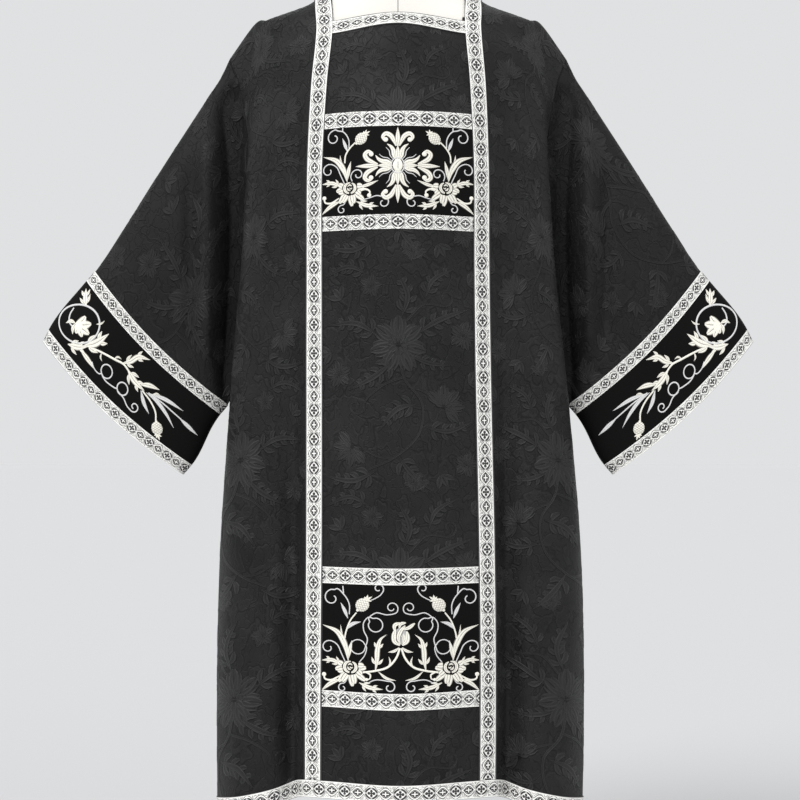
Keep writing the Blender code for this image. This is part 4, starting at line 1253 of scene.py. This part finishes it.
def turned(name, profile, made, node):
    """A body turned round the Z axis from radius and height points."""
    angle = np.linspace(0, 2 * np.pi, TURNED_SIDES + 1)
    radius, height = np.array(profile).T
    grid = joined(radius[:, None] * np.cos(angle), radius[:, None] * np.sin(angle), height[:, None])
    maker = MeshMaker()
    for row in range(len(profile) - 1):
        part = grid[row:row + 2]
        up, out = height[row + 1] - height[row], radius[row] - radius[row + 1]
        outward = joined(np.cos(angle) * up, np.sin(angle) * up, out)
        maker.add_grid(part, joined(angle * 0.05, part[..., 2]), outward)
    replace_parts(maker.finish(name, [made], sharp=0.6), node)


def form_piece(made):
    heights = finer([row[0] for row in FORM_ROWS], 0.008)
    angle = np.linspace(0, 2 * np.pi, FORM_SIDES + 1)
    size = table_curve(FORM_ROWS, heights)
    depth = np.where(np.sin(angle) < 0, size[:, 1:2], size[:, 2:3])
    grid = joined(size[:, :1] * np.cos(angle), depth * np.sin(angle), heights[:, None])
    shrunk = [end * (share, share, 1.0) for end, share in
              ((grid[:1], 0.0), (grid[:1], 0.9), (grid[-1:], 0.9), (grid[-1:], 0.0))]
    whole = np.concatenate([*shrunk[:2], grid, *shrunk[2:]])
    places = joined(whole[..., 2], angle * 0.15)
    maker = MeshMaker()
    maker.add_grid(grid, places[2:-2], grid - (0, 0, 1.2))
    maker.add_grid(whole[:3], places[:3], (0, 0, -1.0))
    maker.add_grid(whole[-3:], places[-3:], (0, 0, 1.0))
    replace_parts(maker.finish("form_cover_body", [made], sharp=0.8), "form_torso")


# The garment

def make_clavus(label, side, front, back, made, medallion_level):
    """A braid from hem to hem, with a ringed cross at the medallion level in front."""
    columns = sorted((side * BRAID_IN, side * BRAID_OUT))
    before, behind = [face.part((HEM_BRAID_TOP, SHOULDER), columns) for face in (front, back)]
    points, normals = [np.concatenate([first, last[::-1]]) for first, last in zip(before, behind)]
    peak = len(before[0]) - 1
    normals[peak] = normals[peak + 1] = (normals[peak] + normals[peak + 1]) / 2
    below = int(np.searchsorted(front.rows, medallion_level)) - index_of(front.rows, HEM_BRAID_TOP)
    lengths = running_length(points[:, points.shape[1] // 2])
    item = skin_piece("clavus_braid_" + label, points, unit(normals), made, start=lengths[below])
    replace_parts(item, "clavus_" + label)


def make_band(name, node, surface, rows, columns, made, ends):
    """Lay a band across a panel, and give its length too."""
    points, normals = surface.part(rows, columns)
    length = running_length(points[len(points) // 2])[-1]
    item = skin_piece(name, points, normals, made, 1, 1.0, length / 2, ends, (1, 1))
    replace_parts(item, node)
    return item, length


def dress(front, back, silk, figure, braid, ground, threads):
    """All cloth, braid and stitches of the panels."""
    def panel_cloth(x, y):
        low = np.where(np.abs(x) < BRAID_IN / MM, np.minimum(y, NECK_BRAID[1] / MM - 1), y)
        return x * MM, low * MM

    for name, surface, side, flat, area, shift in (("front", front, -1, (0.736, 1.227), 0.746, (0, 915)),
                                                   ("back", back, 1, (0.672, 1.227), 0.713, (125, 915))):
        keep = np.ones((len(surface.rows) - 1, len(surface.columns) - 1), bool)
        high = surface.rows[:-1] > NECK_BRAID[1] - 1e-6
        wide = np.abs((surface.columns[:-1] + surface.columns[1:]) / 2) < BRAID_IN
        keep[np.ix_(high, wide)] = False
        item = cloth_piece(name + "_panel", surface, silk, keep, side)
        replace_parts(item, name)
        woven = damask(name + "_woven_figure", surface, (-SEAM / MM, HEM / MM), (SEAM / MM, SHOULDER / MM),
                       figure, panel_cloth, shift)

    for label, side, level in (("left", -1, CROSS_LEVELS[0]), ("right", 1, CROSS_LEVELS[1])):
        make_clavus(label, side, front, back, braid, level)

    cross = (-BRAID_IN, BRAID_IN)
    low_edge = front.columns[index_of(front.columns, BRAID_OUT) + 1]
    hem = (HEM, HEM_BRAID_TOP)
    for node, surface, rows, columns, ends in (
            ("neck_braid_front", front, NECK_BRAID, cross, (0, 0)),
            ("upper_braid_top", front, HIGH_BAND_TOP, cross, (1, 0)),
            ("upper_braid_bottom", front, HIGH_BAND_BOTTOM, cross, (0, 1)),
            ("lower_braid_top", front, LOW_BAND_TOP, cross, (1, 0)),
            ("lower_braid_bottom", front, LOW_BAND_BOTTOM, cross, (0, 1)),
            ("hem_braid_front", front, hem, (-low_edge, low_edge), (0, 1)),
            ("hem_braid_left", front, hem, (-SEAM, -low_edge), (0, 0)),
            ("hem_braid_right", front, hem, (low_edge, SEAM), (0, 0)),
            ("hem_braid_back", back, hem, (-SEAM, SEAM), (0, 1)),
            ("neck_braid_back", back, NECK_BRAID, cross, (0, 0))):
        item, length = make_band(node + "_woven", node, surface, rows, columns, braid, ends)

    for node, rows, design in (("upper_apparel", (HIGH_BAND_BOTTOM[1], HIGH_BAND_TOP[0]), upper_design()),
                               ("lower_apparel", (LOW_BAND_BOTTOM[1], LOW_BAND_TOP[0]), lower_design())):
        item, length = make_band(node + "_ground", node, front, rows, cross, ground, (1, 1))

        def band_cloth(x, y):
            return (np.clip(x * MM * BRAID_IN / DESIGN_HALF, *cross),
                    np.clip(sum(rows) / 2 + y * MM, rows[0] + STITCH_CLEAR, rows[1] - STITCH_CLEAR))

        sewn = design.lay(node + "_embroidery", front, band_cloth, SKIN_GAP + BRAID_WALL, threads)
        rows[1] - rows[0]


def dress_sleeve(label, side, front, back, silk, figure, braid, ground, threads):
    surface = sleeve_surface(front, back, side)
    item = cloth_piece("sleeve_cloth_" + label, surface, silk, rims=(0,))
    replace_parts(item, "sleeve_" + label)
    around = surface.columns

    def woven_cloth(x, y):
        share = smooth_step(np.abs(x * MM) / around[-1])
        length = SLEEVE_TOP_LENGTH + (SLEEVE_LOW_LENGTH - SLEEVE_TOP_LENGTH) * share
        return x * MM, np.clip(1 - y * MM / length, 0, 1)

    woven = damask("sleeve_woven_figure_" + label, surface, (around[0] / MM, 110), (around[-1] / MM, 500),
                   figure, woven_cloth, (70 * side, 40))
    for node, start, end, made, ends, scale in (
            ("sleeve_braid_", BAND_INNER, BAND_START, braid, (0, 1), 1.25),
            ("cuff_band_", BAND_START, BAND_END, ground, (1, 1), 1.0),
            ("cuff_braid_", BAND_END, 1.0, braid, (1, 0), 1.25)):
        points, normals = surface.part((start, end), (around[0], around[-1]))
        length = running_length(points[len(points) // 2])[-1]
        width = running_length(points[:, points.shape[1] // 2])[-1]
        piece = skin_piece(node + label + "_skin", points, normals, made, 1, scale, length / 2, ends,
                           rims=(0,))
        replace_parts(piece, node + label)
        sewn = []
        if made is ground:
            def band_cloth(x, y):
                share = np.clip(np.abs(x) / CUFF_CHORD, 0, 1)
                angle = np.arccos(1 - 2 * share) * np.sign(x)
                along = (start + end) / 2 + y * MM * (end - start) / width
                return (np.interp(angle, surface.turns, around),
                        np.clip(along, start + CUFF_CLEAR, end - CUFF_CLEAR))

            sewn = [cuff_design().lay("cuff_embroidery_" + label, surface, band_cloth, SKIN_GAP + BRAID_WALL,
                                      threads)]


# Room

def add_item(name, data, location, turn):
    item = bpy.data.objects.new(name, data)
    item.location = location
    item.rotation_euler = turn
    bpy.context.scene.collection.objects.link(item)
    return item


def add_sun(name, power, spread, way):
    """A soft distant light that shines along way."""
    sun = bpy.data.lights.new(name, "SUN")
    sun.energy = power
    sun.angle = np.radians(spread)
    add_item(name, sun, (0, 0, 0), Vector(way).to_track_quat("-Z", "Y").to_euler())


def room():
    bpy.ops.mesh.primitive_plane_add(size=FLOOR_SIZE)
    floor = bpy.context.object
    floor.name = "floor"
    floor.data.materials.append(Paint("pale_floor", FLOOR, 0.9).made)
    world = bpy.data.worlds.new("pale_room")
    world.use_nodes = True
    sky = world.node_tree.nodes["Background"]
    sky.inputs[0].default_value = (*ROOM_COLOUR, 1)
    sky.inputs[1].default_value = ROOM_LIGHT
    scene = bpy.context.scene
    scene.world = world
    add_sun("key_sun", KEY_POWER, 28, (0.62, 0.85, -0.95))
    add_sun("fill_sun", FILL_POWER, 50, (-0.70, 0.80, -0.35))
    scene.view_settings.view_transform = "Standard"
    camera = bpy.data.cameras.new("photo_camera")
    camera.lens = CAMERA_LENS
    camera.sensor_width = CAMERA_SENSOR
    camera.shift_x, camera.shift_y = CAMERA_SHIFT
    scene.camera = add_item("photo_camera", camera, (0, -CAMERA_DISTANCE, CAMERA_HEIGHT), (np.pi / 2, 0, 0))


def main():
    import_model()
    silk = silk_material("silk_ground", SILK_DARK, SILK_LIGHT, 0.52, 0.17, "ground")
    figure = silk_material("silk_woven_figure", SILK_DARK, SILK_LIGHT, 0.46, 0.19, "figure")
    # The sleeves get a darker copy of the body's silk: painted shade
    sleeve_silk = silk_material("sleeve_silk_ground_painted_shade", SILK_DARK, SLEEVE_SHADED_LIGHT, 0.55, 0.14, "ground")
    sleeve_figure = silk_material("sleeve_silk_figure_painted_shade", SILK_DARK, SLEEVE_SHADED_LIGHT, 0.50, 0.16, "figure")
    braid = galloon_material("silver_galloon")
    ground = silk_material("band_ground", BAND_DARK, BAND_LIGHT, 0.62, 0.07, "band")
    threads = [thread_material("ivory_leaf_thread", IVORY, IVORY_SHADE, 1.0),
               thread_material("ivory_stem_thread", IVORY, IVORY_SHADE, 0),
               thread_material("silver_thread", SILVER, SILVER_SHADE, 0.6),
               thread_material("net_thread", IVORY, IVORY_SHADE, 0, True)]
    metal = metal_material()

    form_piece(cover_material())
    cap = ((0, NECK_TOP + SKIN_GAP), (0.040, NECK_TOP + SKIN_GAP), (0.044, NECK_TOP + 0.004),
           (0.040, NECK_TOP + 0.012), (0.020, NECK_TOP + 0.017), (0, NECK_TOP + 0.018))
    rod = ((0, BASE_HEIGHT + SKIN_GAP), (POLE_RADIUS, BASE_HEIGHT + SKIN_GAP),
           (POLE_RADIUS, FORM_BOTTOM - SKIN_GAP), (0, FORM_BOTTOM - SKIN_GAP))
    plate = ((0, 0), (BASE_RADIUS, 0), (BASE_RADIUS, 0.006), (BASE_RADIUS - 0.004, 0.0095),
             (0.030, BASE_HEIGHT), (0, BASE_HEIGHT))
    turned("turned_neck_cap", cap, wood_material(), "neck_cap")
    turned("turned_pole", rod, metal, "pole")
    turned("turned_base", plate, metal, "base")

    front = panel_surface([row[2] for row in FRONT_ROWS], FRONT_CREASES, -1)
    back = panel_surface(BACK_DEPTHS, BACK_CREASES, 1)
    dress(front, back, silk, figure, braid, ground, threads)
    for label, side in (("left", -1), ("right", 1)):
        dress_sleeve(label, side, front, back, sleeve_silk, sleeve_figure, braid, ground, threads)
    room()


main()
